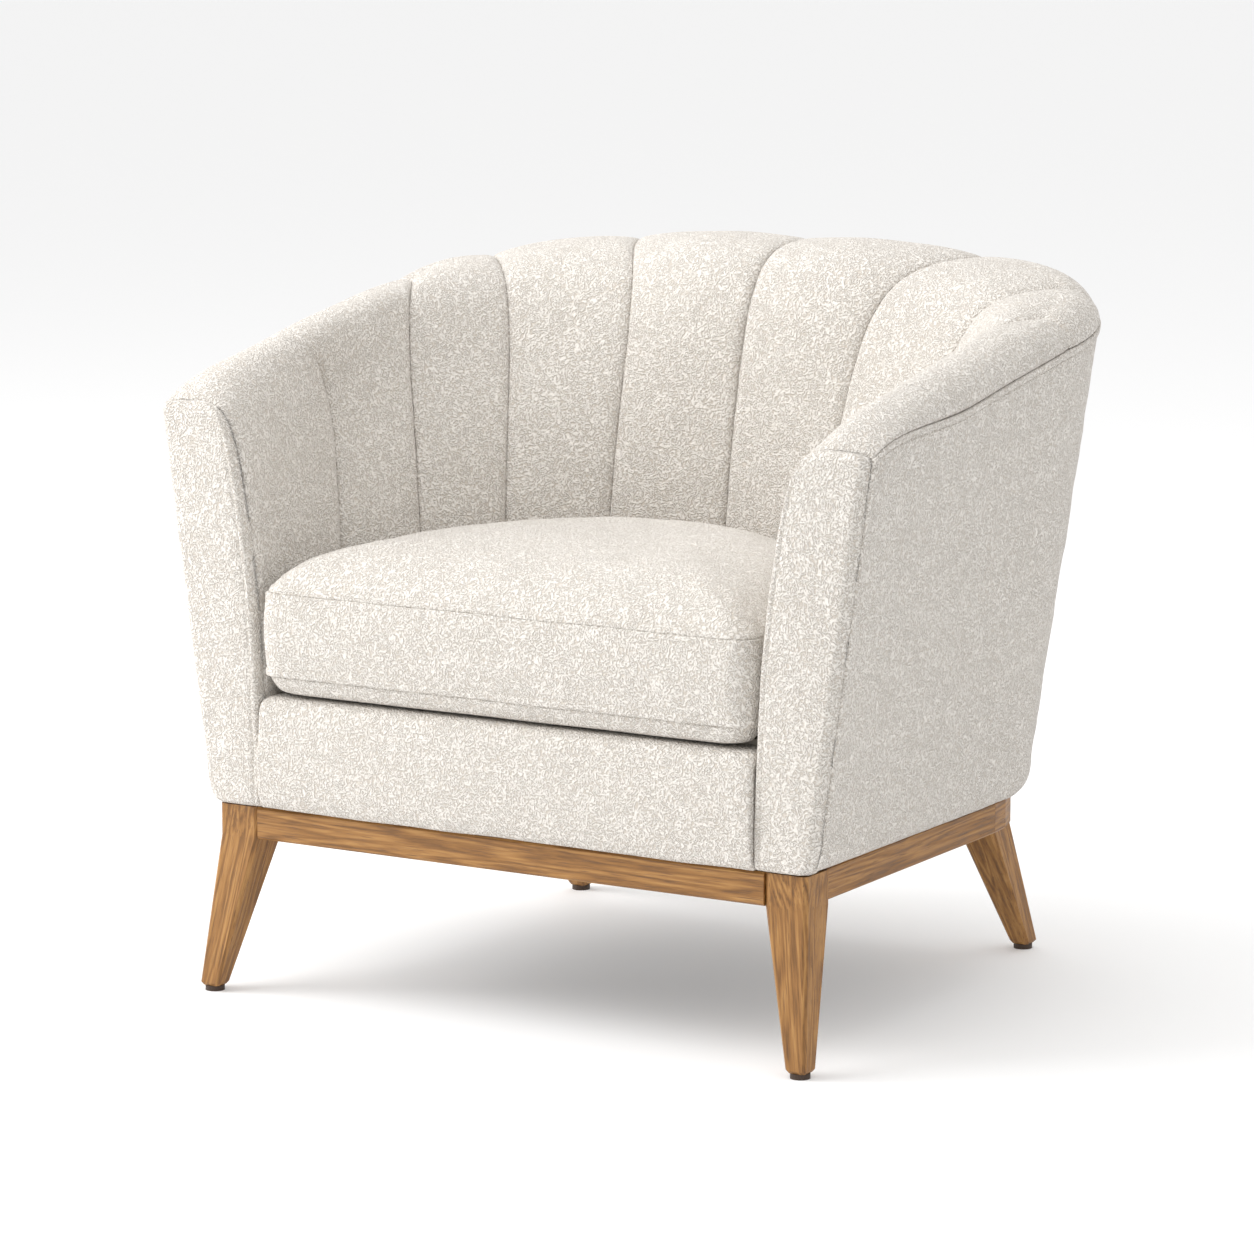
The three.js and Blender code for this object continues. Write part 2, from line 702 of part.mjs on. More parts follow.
function topRail(fractions) {
  const foot = (f) => crest(f) - TOP_RAIL_FOOT;
  const head = (f) => crest(f) - TOP_RAIL_HEAD;
  return rimBar(fractions, TOP_RAIL_OFFSET, foot, head, EASED_EDGE);
}

function backTopRail() {
  const half = [...steps(3, cornerFraction(46), CORNER_END), 1];
  const ring = (side, fraction) => {
    const z1 = crest(fraction) - TOP_RAIL_HEAD;
    const z0 = crest(fraction) - TOP_RAIL_FOOT;
    const corners = [
      [TOP_RAIL_OFFSET[0], z0],
      [TOP_RAIL_OFFSET[1], z0],
      [TOP_RAIL_OFFSET[1], z1],
      [TOP_RAIL_OFFSET[0], z1],
    ];
    return corners.map(([d, z]) => {
      const [x, y] = rim(fraction, d);
      return vec(side * x, y, z);
    });
  };
  const right = half.map((f) => ring(1, f));
  const left = half
    .slice(0, -1)
    .reverse()
    .map((f) => ring(-1, f));
  return loft([...right, ...left]);
}

// A leaning upright that carries the top rail over the rear corner.
function cornerUpright() {
  const fraction = cornerFraction(45);
  const across = vec(-Math.SQRT1_2, Math.SQRT1_2, 0).multiplyScalar(BOARD / 2);
  const ring = (inner, outer, z) => {
    const a = vec(...rim(fraction, inner), z);
    const b = vec(...rim(fraction, outer), z);
    return [
      a.clone().sub(across),
      b.clone().sub(across),
      b.clone().add(across),
      a.clone().add(across),
    ];
  };
  return loft([
    ring(-44, -8, RAIL_TOP + GAP),
    ring(8, 46, crest(fraction) - TOP_RAIL_FOOT - 8),
  ]);
}

function armFrontBoard() {
  const top = skin(0, 2).z - PAD_ARM - 4;
  const wall = (z) => rim(0, flare(z) - COVER - 1)[0];
  const innerFoot = SEAT_FRAME_HALF + 1;
  const outline = [
    [innerFoot, TUCK_BOTTOM],
    [wall(TUCK_TOP) - 22, TUCK_BOTTOM],
    [wall(TUCK_TOP), TUCK_TOP],
    [wall(top), top],
    [wall(top) - 24, top],
    [SEAT_HALF + PAD_ARM + 22, top - 60],
    [SEAT_HALF + PAD_ARM + 9, BASE_Z + 60],
    [SEAT_HALF + PAD_ARM + 5, BASE_Z - 1],
    [innerFoot, BASE_Z - 1],
  ];
  const body = new THREE.ExtrudeGeometry(
    new THREE.Shape(outline.map(([x, z]) => new THREE.Vector2(x, z))),
    { depth: BOARD - 4, bevelEnabled: false },
  );
  return body.rotateX(Math.PI / 2).translate(0, WALL_FRONT + BOARD - 4, 0);
}

function deckPad() {
  const front = BORDER_PAD + GAP + BOARD + 1;
  const margin = 10;
  const right = steps(10)
    .map((t) =>
      superellipse(SEAT_HALF - margin, SEAT_BACK - WALL_FRONT - margin, SEAT_SQUARENESS, 90 * t),
    )
    .filter(([, y]) => y > front);
  const rightFront = [SEAT_HALF - margin, front];
  const left = right
    .slice(0, -1)
    .reverse()
    .map(([x, y]) => [-x, y]);
  return prism(
    [rightFront, ...right, ...left, [-rightFront[0], front]],
    SEAT_FRAME_TOP + 2 * WEB_THICKNESS + 3 * GAP,
    DECK_TOP,
  );
}

// ---- Assembly -----------------------------------------------------------------------
const chair = new THREE.Group();
const right = new THREE.Group();
const left = new THREE.Group();
left.scale.x = -1;
chair.add(right, left);

function put(name, geometry, material, group = chair) {
  const mesh = new THREE.Mesh(geometry, material);
  mesh.name = name;
  group.add(mesh);
}

// The same piece on both sides of the chair.
function putPair(name, make, material) {
  put(name + "_right", make(), material, right);
  put(name + "_left", make(), material, left);
}

put("front_rail", straightRail(FRONT_LEG_TOP[0] - LEG_TOP_SIZE / 2 - GAP, RAIL_FRONT), OAK);
put("rear_rail", straightRail(CORNER_X - GAP, CORNER_Y + CORNER_RADIUS - RAIL_THICKNESS), OAK);
putPair("side_rail", sideRail, OAK);
putPair("rear_corner_rail", cornerRail, OAK);

const frontHole = () => rod(BOLT_RADIUS + GAP, FRONT_BOLT_SEAT, FRONT_AXIS, FRONT_BOLT_LENGTH + 2, 10);
const rearHole = () => rod(BOLT_RADIUS + GAP, REAR_BOLT_SEAT, REAR_AXIS, REAR_BOLT_LENGTH + 2, 10);
putPair("front_leg", () => cut(legBody(FRONT_LEG_TOP, FRONT_FOOT), frontHole()), OAK);
putPair("rear_leg", () => cut(legBody(REAR_LEG_TOP, REAR_FOOT), cornerRailRoom(), rearHole()), OAK);
putPair("front_corner_block", () => frontCornerBlock(frontHole()), PLYWOOD);
putPair("rear_corner_block", () => rearCornerBlock(rearHole()), PLYWOOD);
putPair("front_leg_bolt", () => hexBolt(FRONT_BOLT_SEAT, FRONT_AXIS, FRONT_BOLT_LENGTH), STEEL);
putPair("rear_leg_bolt", () => hexBolt(REAR_BOLT_SEAT, REAR_AXIS, REAR_BOLT_LENGTH), STEEL);

for (const [name, [x, y]] of [
  ["front_glide", FRONT_FOOT],
  ["rear_glide", REAR_FOOT],
])
  putPair(name, () => rod(GLIDE_RADIUS, vec(x, y, FLOOR), vec(0, 0, 1), GLIDE_HEIGHT, 20), NYLON);

const frontMember = BORDER_PAD + GAP;
put(
  "seat_frame_front",
  block(
    -SEAT_FRAME_HALF + GAP,
    SEAT_FRAME_HALF - GAP,
    frontMember,
    frontMember + BOARD,
    SEAT_FRAME_BOTTOM,
    SEAT_FRAME_TOP,
  ),
  PLYWOOD,
);
put(
  "seat_frame_rear",
  block(
    -SEAT_FRAME_HALF + GAP,
    SEAT_FRAME_HALF - GAP,
    SEAT_FRAME_REAR - BOARD,
    SEAT_FRAME_REAR,
    SEAT_FRAME_BOTTOM,
    SEAT_FRAME_TOP,
  ),
  PLYWOOD,
);
putPair(
  "seat_frame_side",
  () =>
    block(
      SEAT_FRAME_HALF,
      SEAT_FRAME_HALF + BOARD,
      WALL_FRONT + BOARD - 4 + GAP,
      SEAT_FRAME_REAR,
      SEAT_FRAME_BOTTOM,
      SEAT_FRAME_TOP,
    ),
  PLYWOOD,
);

const webBottom = SEAT_FRAME_TOP + GAP;
[-1, 0, 1].forEach((place, i) =>
  put(
    `seat_web_long_${i + 1}`,
    block(
      place * 150 - WEB_WIDTH / 2,
      place * 150 + WEB_WIDTH / 2,
      frontMember + 2,
      SEAT_FRAME_REAR - 2,
      webBottom,
      webBottom + WEB_THICKNESS,
    ),
    WEBBING,
  ),
);
[150, 300].forEach((y, i) =>
  put(
    `seat_web_cross_${i + 1}`,
    block(
      -SEAT_FRAME_HALF - 20,
      SEAT_FRAME_HALF + 20,
      y - WEB_WIDTH / 2,
      y + WEB_WIDTH / 2,
      webBottom + WEB_THICKNESS + GAP,
      webBottom + 2 * WEB_THICKNESS + GAP,
    ),
    WEBBING,
  ),
);
put("seat_deck", deckPad(), DUST_CLOTH);

const dustTop = SEAT_FRAME_BOTTOM - GAP;
const dustHalf = SEAT_FRAME_HALF + 8;
put(
  "dust_cover",
  block(
    -dustHalf,
    dustHalf,
    RAIL_FRONT + LEG_TOP_SIZE + 4,
    SEAT_FRAME_REAR - 4,
    dustTop - DUST_THICKNESS,
    dustTop,
  ),
  DUST_CLOTH,
);

putPair("arm_front_board", armFrontBoard, PLYWOOD);
putPair("corner_upright", cornerUpright, PLYWOOD);
const armRailStart = fractionAtY(WALL_FRONT + BOARD - 4 + GAP);
const armRailEnd = cornerFraction(44.6);
putPair(
  "arm_top_rail",
  () => topRail([armRailStart, ...steps(5, CORNER_START, armRailEnd)]),
  PLYWOOD,
);
put("back_top_rail", backTopRail(), PLYWOOD);

for (let i = 0; i < CHANNELS_PER_SIDE; i++) putPair(`channel_${i + 1}`, () => channel(i), FABRIC);
putPair("arm_front_panel", armFrontPanel, FABRIC);
putPair("outside_arm", outsideArm, FABRIC);
put("outside_back", outsideBack(), FABRIC);
put("front_border", frontBorder(), FABRIC);

put(
  "cushion_foam_core",
  prism(
    cushionPlan(CUSHION_SKIN),
    CUSHION_BOTTOM + CUSHION_SKIN + GAP,
    CUSHION_SEAM_TOP - CUSHION_SKIN,
  ),
  FOAM,
);
put("cushion_top", cushionTop(), FABRIC);
put("cushion_boxing", cushionBoxing(), FABRIC);
put(
  "cushion_bottom",
  prism(cushionPlan(4), CUSHION_BOTTOM, CUSHION_BOTTOM + CUSHION_SKIN - GAP),
  FABRIC,
);

const footprint = new THREE.Box3().setFromObject(chair);
chair.position.y = -(footprint.min.y + footprint.max.y) / 2;

export default chair;
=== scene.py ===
"""The looks of the channel-back tub armchair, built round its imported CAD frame.

Shapes are set out in millimetres from the line of the front feet, as the chair is drawn,
and turned into metres in the chair's own frame as each mesh is made.
"""

import math

import bpy
import numpy as np
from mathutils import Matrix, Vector


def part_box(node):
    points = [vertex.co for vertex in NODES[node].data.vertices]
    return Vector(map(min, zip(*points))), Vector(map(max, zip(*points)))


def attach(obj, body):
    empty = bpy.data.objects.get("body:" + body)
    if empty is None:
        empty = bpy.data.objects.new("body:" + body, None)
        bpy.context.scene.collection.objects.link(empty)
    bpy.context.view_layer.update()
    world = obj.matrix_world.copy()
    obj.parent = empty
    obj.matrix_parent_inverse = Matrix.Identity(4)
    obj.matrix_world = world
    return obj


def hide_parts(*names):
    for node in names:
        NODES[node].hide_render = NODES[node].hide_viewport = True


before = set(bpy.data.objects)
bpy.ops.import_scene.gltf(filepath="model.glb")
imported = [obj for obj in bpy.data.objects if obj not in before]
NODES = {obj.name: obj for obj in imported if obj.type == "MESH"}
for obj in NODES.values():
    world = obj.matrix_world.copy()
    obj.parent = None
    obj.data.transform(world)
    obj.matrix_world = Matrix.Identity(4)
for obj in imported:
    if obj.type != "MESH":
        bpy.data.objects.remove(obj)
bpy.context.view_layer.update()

# ---- Camera -------------------------------------------------------------------------
CAMERA_AZIMUTH = math.radians(31.46)
CAMERA_ELEVATION = math.radians(9.56)
CAMERA_DISTANCE = 5.003
CAMERA_AIM = Vector((0.1099, -0.2580, 0.4091))
CAMERA_LENS = 146.1


def make_camera():
    back = Vector((
        math.sin(CAMERA_AZIMUTH) * math.cos(CAMERA_ELEVATION),
        -math.cos(CAMERA_AZIMUTH) * math.cos(CAMERA_ELEVATION),
        math.sin(CAMERA_ELEVATION),
    ))
    camera = bpy.data.objects.new("camera", bpy.data.cameras.new("camera"))
    camera.data.lens = CAMERA_LENS
    camera.data.sensor_width = 36
    camera.location = CAMERA_AIM + back * CAMERA_DISTANCE
    camera.rotation_euler = (-back).to_track_quat("-Z", "Y").to_euler()
    bpy.context.scene.collection.objects.link(camera)
    bpy.context.scene.camera = camera


make_camera()

# ---- Driving dimensions, mm ---------------------------------------------------------
RAIL_HALF_FRONT = 340.0
RAIL_HALF_REAR = 333.0
CORNER_Y = 428.0
CORNER_RADIUS = 147.0
CORNER_X = RAIL_HALF_REAR - CORNER_RADIUS
COVER_OFFSET = 73.0

WALL_FRONT = 16.4
PANEL_FRONT = 4.0
BASE_Z = 295.4
SEAT_HALF = 291.0
SEAT_BACK = 434.0
SEAT_SQUARENESS = 2.2
SHOULDER_HALF = 305.0
SHOULDER_BACK = 470.0
SHOULDER_FLARE = 0.13
SHOULDER_SQUARENESS = 2.9
SHOULDER_DROP = 130.0

BACK_HEIGHT = 744.5
ARM_FALL = 124.5
ARM_FALL_POWER = 1.7
ARM_NOSE_DIP = 11.0
ARM_NOSE_LENGTH = 26.0
CREST_OFFSET_FRONT = 30.0
CREST_OFFSET_CORNER = 48.0
CREST_OFFSET_BACK = 26.0
SEAM_DROP_FRONT = 8.0
SEAM_DROP_BACK = 30.0
ROLL_RISE = 0.85
ROLL_REACH = 0.6
ROLL_OVER = 0.55
FLARE_AT_TUCK = 21.0
FLARE_SLOPE = 0.139
TUCK_TOP = 233.0
TUCK_BOTTOM = 195.5
TUCK_INSET = 17.0
COVER = 8.0
PAD_ARM = 30.0
PAD_BACK = 52.0
BACK_COVER_ANGLE = 60.0

# angle round the seat well, angle at the shoulder, fraction along the rim
SEAMS = np.array([
    [0, 0, 0],
    [16.5, 15, 0.15],
    [32, 33, 0.43],
    [47.5, 54, 0.575],
    [67, 76, 0.775],
    [90, 90, 1],
], float)
CHANNELS_PER_SIDE = len(SEAMS) - 1

BORDER_HALF = 290.0
BORDER_TOP = 308.0
BORDER_REAR = 43.4

CUSHION_BOTTOM = 317.2
CUSHION_SEAM_LOW = 334.0
CUSHION_SEAM_TOP = 419.0
CUSHION_CROWN = 478.0
CROWN_POWER = 0.67
CUSHION_HALF = 286.0
CUSHION_FRONT = 1.0
CUSHION_BACK = 428.0
CUSHION_CORNER = 24.0

FRAME_BODY = "chair_frame"
CUSHION_BODY = "seat_cushion"
Y_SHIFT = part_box("front_border")[0].y * 1000  # row frame y of the line y = 0


# ---- Mesh helpers -------------------------------------------------------------------
def smooth(t):
    t = np.clip(t, 0, 1)
    return t * t * (3 - 2 * t)


def lerp(a, b, t):
    return a + (b - a) * t


def graded(count, edge_share=0.3, power=2.0):
    """count + 1 places from 0 to 1, closer together near both ends."""
    t = np.linspace(-1, 1, count + 1)
    packed = np.sign(t) * (1 - (1 - np.abs(t)) ** power)
    return (lerp(t, packed, edge_share) + 1) / 2


def make_object(name, vertices, faces, material, body, side=1, smooth_shade=True):
    """vertices are in drawing millimetres; side -1 mirrors them to the left."""
    co = np.array(vertices, float)
    co[:, 0] *= side
    co[:, 1] += Y_SHIFT
    if side < 0:
        faces = [tuple(reversed(f)) for f in faces]
    mesh = bpy.data.meshes.new(name)
    mesh.from_pydata((co / 1000).tolist(), [], faces)
    mesh.polygons.foreach_set("use_smooth", [smooth_shade] * len(faces))
    mesh.materials.append(material)
    mesh.update()
    obj = bpy.data.objects.new(name, mesh)
    bpy.context.scene.collection.objects.link(obj)
    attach(obj, body)
    return obj


def grid_faces(columns, rows, start=0, wrap=False, flip=False):
    faces = []
    last = columns if wrap else columns - 1
    for i in range(last):
        for j in range(rows - 1):
            a = start + i * rows + j
            b = start + ((i + 1) % columns) * rows + j
            face = (a, b, b + 1, a + 1)
            faces.append(face[::-1] if flip else face)
    return faces


def signed_volume(vertices, faces):
    total = 0.0
    for f in faces:
        a = vertices[f[0]]
        for p, q in zip(f[1:-1], f[2:]):
            total += np.dot(a, np.cross(vertices[p], vertices[q]))
    return total


def outward(vertices, faces):
    return faces if signed_volume(vertices, faces) > 0 else [f[::-1] for f in faces]


def pad_mesh(face, back):
    """Two matching grids of points, columns by rows, closed along their edges."""
    columns, rows = face.shape[:2]
    vertices = np.concatenate([face.reshape(-1, 3), back.reshape(-1, 3)])
    half = columns * rows
    faces = grid_faces(columns, rows) + grid_faces(columns, rows, half, flip=True)
    for j in range(rows - 1):
        for i, turn in ((0, 1), (columns - 1, -1)):
            a = i * rows + j
            faces.append((a, a + 1, a + 1 + half, a + half)[::turn])
    for i in range(columns - 1):
        for j, turn in ((0, -1), (rows - 1, 1)):
            a, b = i * rows + j, (i + 1) * rows + j
            faces.append((a, b, b + half, a + half)[::turn])
    return vertices, outward(vertices, faces)


def ring_mesh(face, back):
    """As pad_mesh, for columns that run round a closed ring."""
    columns, rows = face.shape[:2]
    vertices = np.concatenate([face.reshape(-1, 3), back.reshape(-1, 3)])
    half = columns * rows
    faces = grid_faces(columns, rows, wrap=True)
    faces += grid_faces(columns, rows, half, wrap=True, flip=True)
    for i in range(columns):
        k = (i + 1) % columns
        for j, turn in ((0, -1), (rows - 1, 1)):
            a, b = i * rows + j, k * rows + j
            faces.append((a, b, b + half, a + half)[::turn])
    return vertices, outward(vertices, faces)


def normals_of(points):
    """Unit normals of a grid of points."""
    across = np.gradient(points, axis=0)
    along = np.gradient(points, axis=1)
    normal = np.cross(across, along)
    return normal / np.maximum(np.linalg.norm(normal, axis=2, keepdims=True), 1e-9)


def run_length(points, axis):
    """Distance along a grid's rows or columns from their start."""
    step = np.linalg.norm(np.diff(points, axis=axis), axis=2)
    total = np.cumsum(step, axis=axis)
    first = np.zeros_like(total[:1] if axis == 0 else total[:, :1])
    return np.concatenate([first, total], axis=axis)


rng = np.random.default_rng(7)
WAVES = [(rng.normal(size=3), rng.uniform(0, 2 * math.pi)) for _ in range(9)]


def ripple(points, wavelength):
    """Soft, irregular undulation between about -1 and 1."""
    total = np.zeros(points.shape[:-1])
    for direction, phase in WAVES:
        total += np.sin(points @ direction * (2 * math.pi / wavelength) + phase)
    return total / 4


def tuck(distance, radius):
    """1 at a sewn edge, easing to 0 at the radius, like the quarter round of a filled pad."""
    t = np.clip(1 - distance / radius, 0, 1)
    return 1 - np.sqrt(1 - t * t)


def groove(distance, at, width):
    return np.exp(-(((distance - at) / width) ** 2))


# ---- The chair's plan and wall section ----------------------------------------------
SIDE_LENGTH = CORNER_Y - WALL_FRONT
CORNER_LENGTH = (CORNER_RADIUS + COVER_OFFSET) * math.pi / 2
RIM_LENGTH = SIDE_LENGTH + CORNER_LENGTH + CORNER_X
CORNER_START = SIDE_LENGTH / RIM_LENGTH
CORNER_END = (SIDE_LENGTH + CORNER_LENGTH) / RIM_LENGTH


def rim(fraction, offset):
    """Plan point at a fraction of the right half of the rim, outside the oak rail."""
    fraction, offset = np.broadcast_arrays(np.asarray(fraction, float), offset)
    along = fraction * RIM_LENGTH
    angle = (along - SIDE_LENGTH) / (CORNER_RADIUS + COVER_OFFSET)
    radius = CORNER_RADIUS + offset
    side_x = lerp(RAIL_HALF_FRONT, RAIL_HALF_REAR, along / SIDE_LENGTH) + offset
    x = np.where(angle <= 0, side_x, CORNER_X + radius * np.cos(angle))
    y = np.where(angle <= 0, WALL_FRONT + along, CORNER_Y + radius * np.sin(angle))
    rear = angle >= math.pi / 2
    x = np.where(rear, (1 - fraction) * RIM_LENGTH, x)
    y = np.where(rear, CORNER_Y + radius, y)
    return x, y


def crest(fraction):
    nose = np.exp(-fraction * RIM_LENGTH / ARM_NOSE_LENGTH)
    fall = ARM_FALL * np.maximum(0, 1 - fraction) ** ARM_FALL_POWER
    return BACK_HEIGHT - fall - ARM_NOSE_DIP * nose


def crest_offset(fraction):
    """Where the crest lies outside the rail: further out round the rear corner."""
    arm = lerp(CREST_OFFSET_FRONT, CREST_OFFSET_CORNER, smooth(fraction / CORNER_START))
    rear = smooth((fraction - CORNER_START) / (1 - CORNER_START))
    return lerp(arm, CREST_OFFSET_BACK, rear)


def outer_seam(fraction):
    depth = smooth(2 * fraction / CORNER_START)
    return crest(fraction) - lerp(SEAM_DROP_FRONT, SEAM_DROP_BACK, depth)


def flare(z):
    t = np.clip((TUCK_TOP - z) / (TUCK_TOP - TUCK_BOTTOM), 0, 1)
    straight = FLARE_AT_TUCK + FLARE_SLOPE * np.maximum(0, z - TUCK_TOP)
    return straight - TUCK_INSET * (1 - np.sqrt(1 - t * t))


def superellipse(half, depth, power, degrees):
    angle = np.radians(degrees)
    c = np.maximum(0, np.cos(angle)) ** (2 / power)
    s = np.maximum(0, np.sin(angle)) ** (2 / power)
    return half * c, WALL_FRONT + depth * s


def along_seams(station):
    """The seam angles and rim fraction at a station, as a Catmull-Rom curve."""
    first = 2 * SEAMS[0] - SEAMS[1]
    last = 2 * SEAMS[-1] - SEAMS[-2]
    points = np.vstack([first, SEAMS, last])
    station = np.clip(np.asarray(station, float), 0, CHANNELS_PER_SIDE)
    i = np.minimum(station.astype(int), CHANNELS_PER_SIDE - 1)
    t = (station - i)[..., None]
    p0, p1, p2, p3 = (points[i + k] for k in range(4))
    m1, m2 = (p2 - p0) / 2, (p3 - p1) / 2
    value = (
        (2 * t**3 - 3 * t**2 + 1) * p1
        + (t**3 - 2 * t**2 + t) * m1
        + (3 * t**2 - 2 * t**3) * p2
        + (t**3 - t**2) * m2
    )
    value = np.minimum(value, SEAMS[-1])
    return value[..., 0], value[..., 1], value[..., 2]


def stack(x, y, z):
    return np.stack(np.broadcast_arrays(x, y, z), axis=-1).astype(float)


def wall_section(station):
    """Foot, shoulder, crest and outer seam of the wall at each station."""
    seat_angle, shoulder_angle, fraction = along_seams(station)
    top = crest(fraction)
    seam = outer_seam(fraction)
    depth = SEAT_BACK - WALL_FRONT
    foot = stack(*superellipse(SEAT_HALF, depth, SEAT_SQUARENESS, seat_angle), BASE_Z)
    depth = SHOULDER_BACK - WALL_FRONT
    sx, sy = superellipse(SHOULDER_HALF, depth, SHOULDER_SQUARENESS, shoulder_angle)
    sx = sx * (1 + SHOULDER_FLARE * (sy - WALL_FRONT) / SHOULDER_HALF)
    shoulder = stack(sx, sy, top - SHOULDER_DROP)
    peak = stack(*rim(fraction, crest_offset(fraction)), top)
    edge = stack(*rim(fraction, flare(seam)), seam)
    return fraction, foot, shoulder, peak, edge


def bezier(p0, p1, p2, p3, t):
    s = 1 - t
    return s**3 * p0 + 3 * s * s * t * p1 + 3 * s * t * t * p2 + t**3 * p3


def skin(station, v):
    """The sewn skin: v 0 to 1 up the seat side, 1 to 2 into the roll, 2 to 3 down to the
    outer seam. Both arguments are arrays; the result is a grid of stations by v."""
    _, foot, shoulder, peak, edge = (a[:, None] for a in wall_section(station))
    v = np.asarray(v, float)[None, :, None]
    low = foot + (shoulder - foot) * np.clip(v, 0, 1) ** 2
    height = lerp(foot[..., 2:], shoulder[..., 2:], np.clip(v, 0, 1))
    low[..., 2:] = height
    rise = shoulder[..., 2:] - foot[..., 2:]
    lean = (shoulder - foot) * 2 / rise
    lean[..., 2] = 1
    level = np.array([1, 1, 0])
    inward = (shoulder - peak) * level
    roll = bezier(
        shoulder,
        shoulder + lean * ROLL_RISE * SHOULDER_DROP,
        peak + inward * ROLL_REACH,
        peak,
        np.clip(v - 1, 0, 1),
    )
    out = (edge - peak) * level
    drop = (peak - edge) * np.array([0, 0, 1])
    over = bezier(peak, peak + out * ROLL_OVER, edge + drop * 0.6, edge, np.clip(v - 2, 0, 1))
    return np.where(v <= 1, low, np.where(v <= 2, roll, over))


TURN_START = 0.7


def depthways(station, v):
    """Unit vectors from the skin into the stuffing."""
    _, foot, _, peak, _ = wall_section(station)
    out = (peak - foot) * np.array([1, 1, 0])
    out /= np.linalg.norm(out, axis=-1, keepdims=True)
    turn = math.pi * np.maximum(0, np.asarray(v) - TURN_START) / (3 - TURN_START)
    grid = out[:, None, :] * np.cos(turn)[None, :, None]
    grid[..., 2] = -np.sin(turn)[None, :]
    return grid


# ---- Materials ----------------------------------------------------------------------
class Nodes:
    """A short way to write a node tree."""

    def __init__(self, name):
        self.material = bpy.data.materials.new(name)
        self.material.use_nodes = True
        self.tree = self.material.node_tree
        self.shader = self.tree.nodes["Principled BSDF"]

    def add(self, kind, inputs=None, **settings):
        node = self.tree.nodes.new("ShaderNode" + kind)
        for key, value in settings.items():
            setattr(node, key, value)
        for key, value in (inputs or {}).items():
            self.feed(node.inputs[key], value)
        return node

    def feed(self, socket, value):
        if isinstance(value, bpy.types.NodeSocket):
            self.tree.links.new(value, socket)
        else:
            socket.default_value = value

    def math(self, operation, a, b=0.0, c=0.0, clamp=False):
        node = self.add("Math", {0: a, 1: b, 2: c}, operation=operation, use_clamp=clamp)
        return node.outputs[0]

    def vector(self, operation, a, b):
        return self.add("VectorMath", {0: a, 1: b}, operation=operation).outputs[0]

    def noise(self, vector, scale, detail=2.0, roughness=0.5, distortion=0.0):
        node = self.add("TexNoise", {
            "Vector": vector, "Scale": scale, "Detail": detail,
            "Roughness": roughness, "Distortion": distortion,
        })
        return node.outputs["Fac"]

    def ramp(self, value, stops):
        node = self.add("ValToRGB", {0: value})
        elements = node.color_ramp.elements
        while len(elements) < len(stops):
            elements.new(0.5)
        for element, (place, colour) in zip(elements, stops):
            element.position = place
            element.color = (*colour, 1)
        return node.outputs["Color"]

    def mix(self, factor, a, b):
        node = self.add("Mix", {0: factor, 6: a, 7: b}, data_type="RGBA")
        return node.outputs[2]

    def bump(self, height, distance, strength=1.0):
        node = self.add("Bump", {"Height": height, "Distance": distance, "Strength": strength})
        return node.outputs["Normal"]

    def object_coordinates(self):
        return self.add("TexCoord").outputs["Object"]

    def mapped(self, scale, rotation=(0, 0, 0)):
        node = self.add("Mapping", {
            "Vector": self.object_coordinates(), "Scale": scale, "Rotation": rotation,
        })
        return node.outputs["Vector"]

    def finish(self, **inputs):
        for key, value in inputs.items():
            self.feed(self.shader.inputs[key.replace("_", " ")], value)
        return self.material


def srgb(r, g, b):
    def channel(c):
        c /= 255
        return c / 12.92 if c <= 0.04045 else ((c + 0.055) / 1.055) ** 2.4

    return tuple(channel(c) for c in (r, g, b))


def boucle_material():
    """Off-white looped yarn: short winding ridges packed close, with painted shade darkening the
    hollows between them.
    """
    n = Nodes("boucle")
    place = n.object_coordinates()
    waves = []
    for scale, turns in ((150, 29.0), (215, 21.0), (180, 25.0)):
        flow = n.noise(place, scale, detail=0.0)
        waves.append(n.math("SINE", n.math("MULTIPLY", flow, turns)))
    crossed = n.math("ADD", n.math("ADD", waves[0], waves[1]), waves[2])
    yarn = n.math("MULTIPLY_ADD", crossed, 0.34, 0.55, clamp=True)
    fuzz = n.noise(place, 1500, detail=1.0)
    height = n.math("MULTIPLY_ADD", fuzz, 0.2, yarn)
    patches = n.noise(place, 25, detail=2.0)
    crown = n.mix(patches, (*srgb(229, 223, 215), 1), (*srgb(237, 232, 225), 1))
    # painted shade: the yarn height darkens the colour from the ridge tops down into the hollows
    # between the loops
    colour = n.mix(n.math("MULTIPLY", yarn, 1.5, clamp=True), (*srgb(199, 190, 179), 1), crown)
    return n.finish(
        Base_Color=colour,
        Roughness=0.92,
        Sheen_Weight=0.15,
        Sheen_Roughness=0.5,
        Normal=n.bump(height, 0.0018, 0.9),
    )


def thread_material():
    n = Nodes("sewing_thread")
    twist = n.noise(n.object_coordinates(), 900, detail=1.0)
    colour = n.ramp(twist, [(0.3, srgb(188, 181, 170)), (0.7, srgb(222, 216, 207))])
    return n.finish(Base_Color=colour, Roughness=0.7, Normal=n.bump(twist, 0.0002))


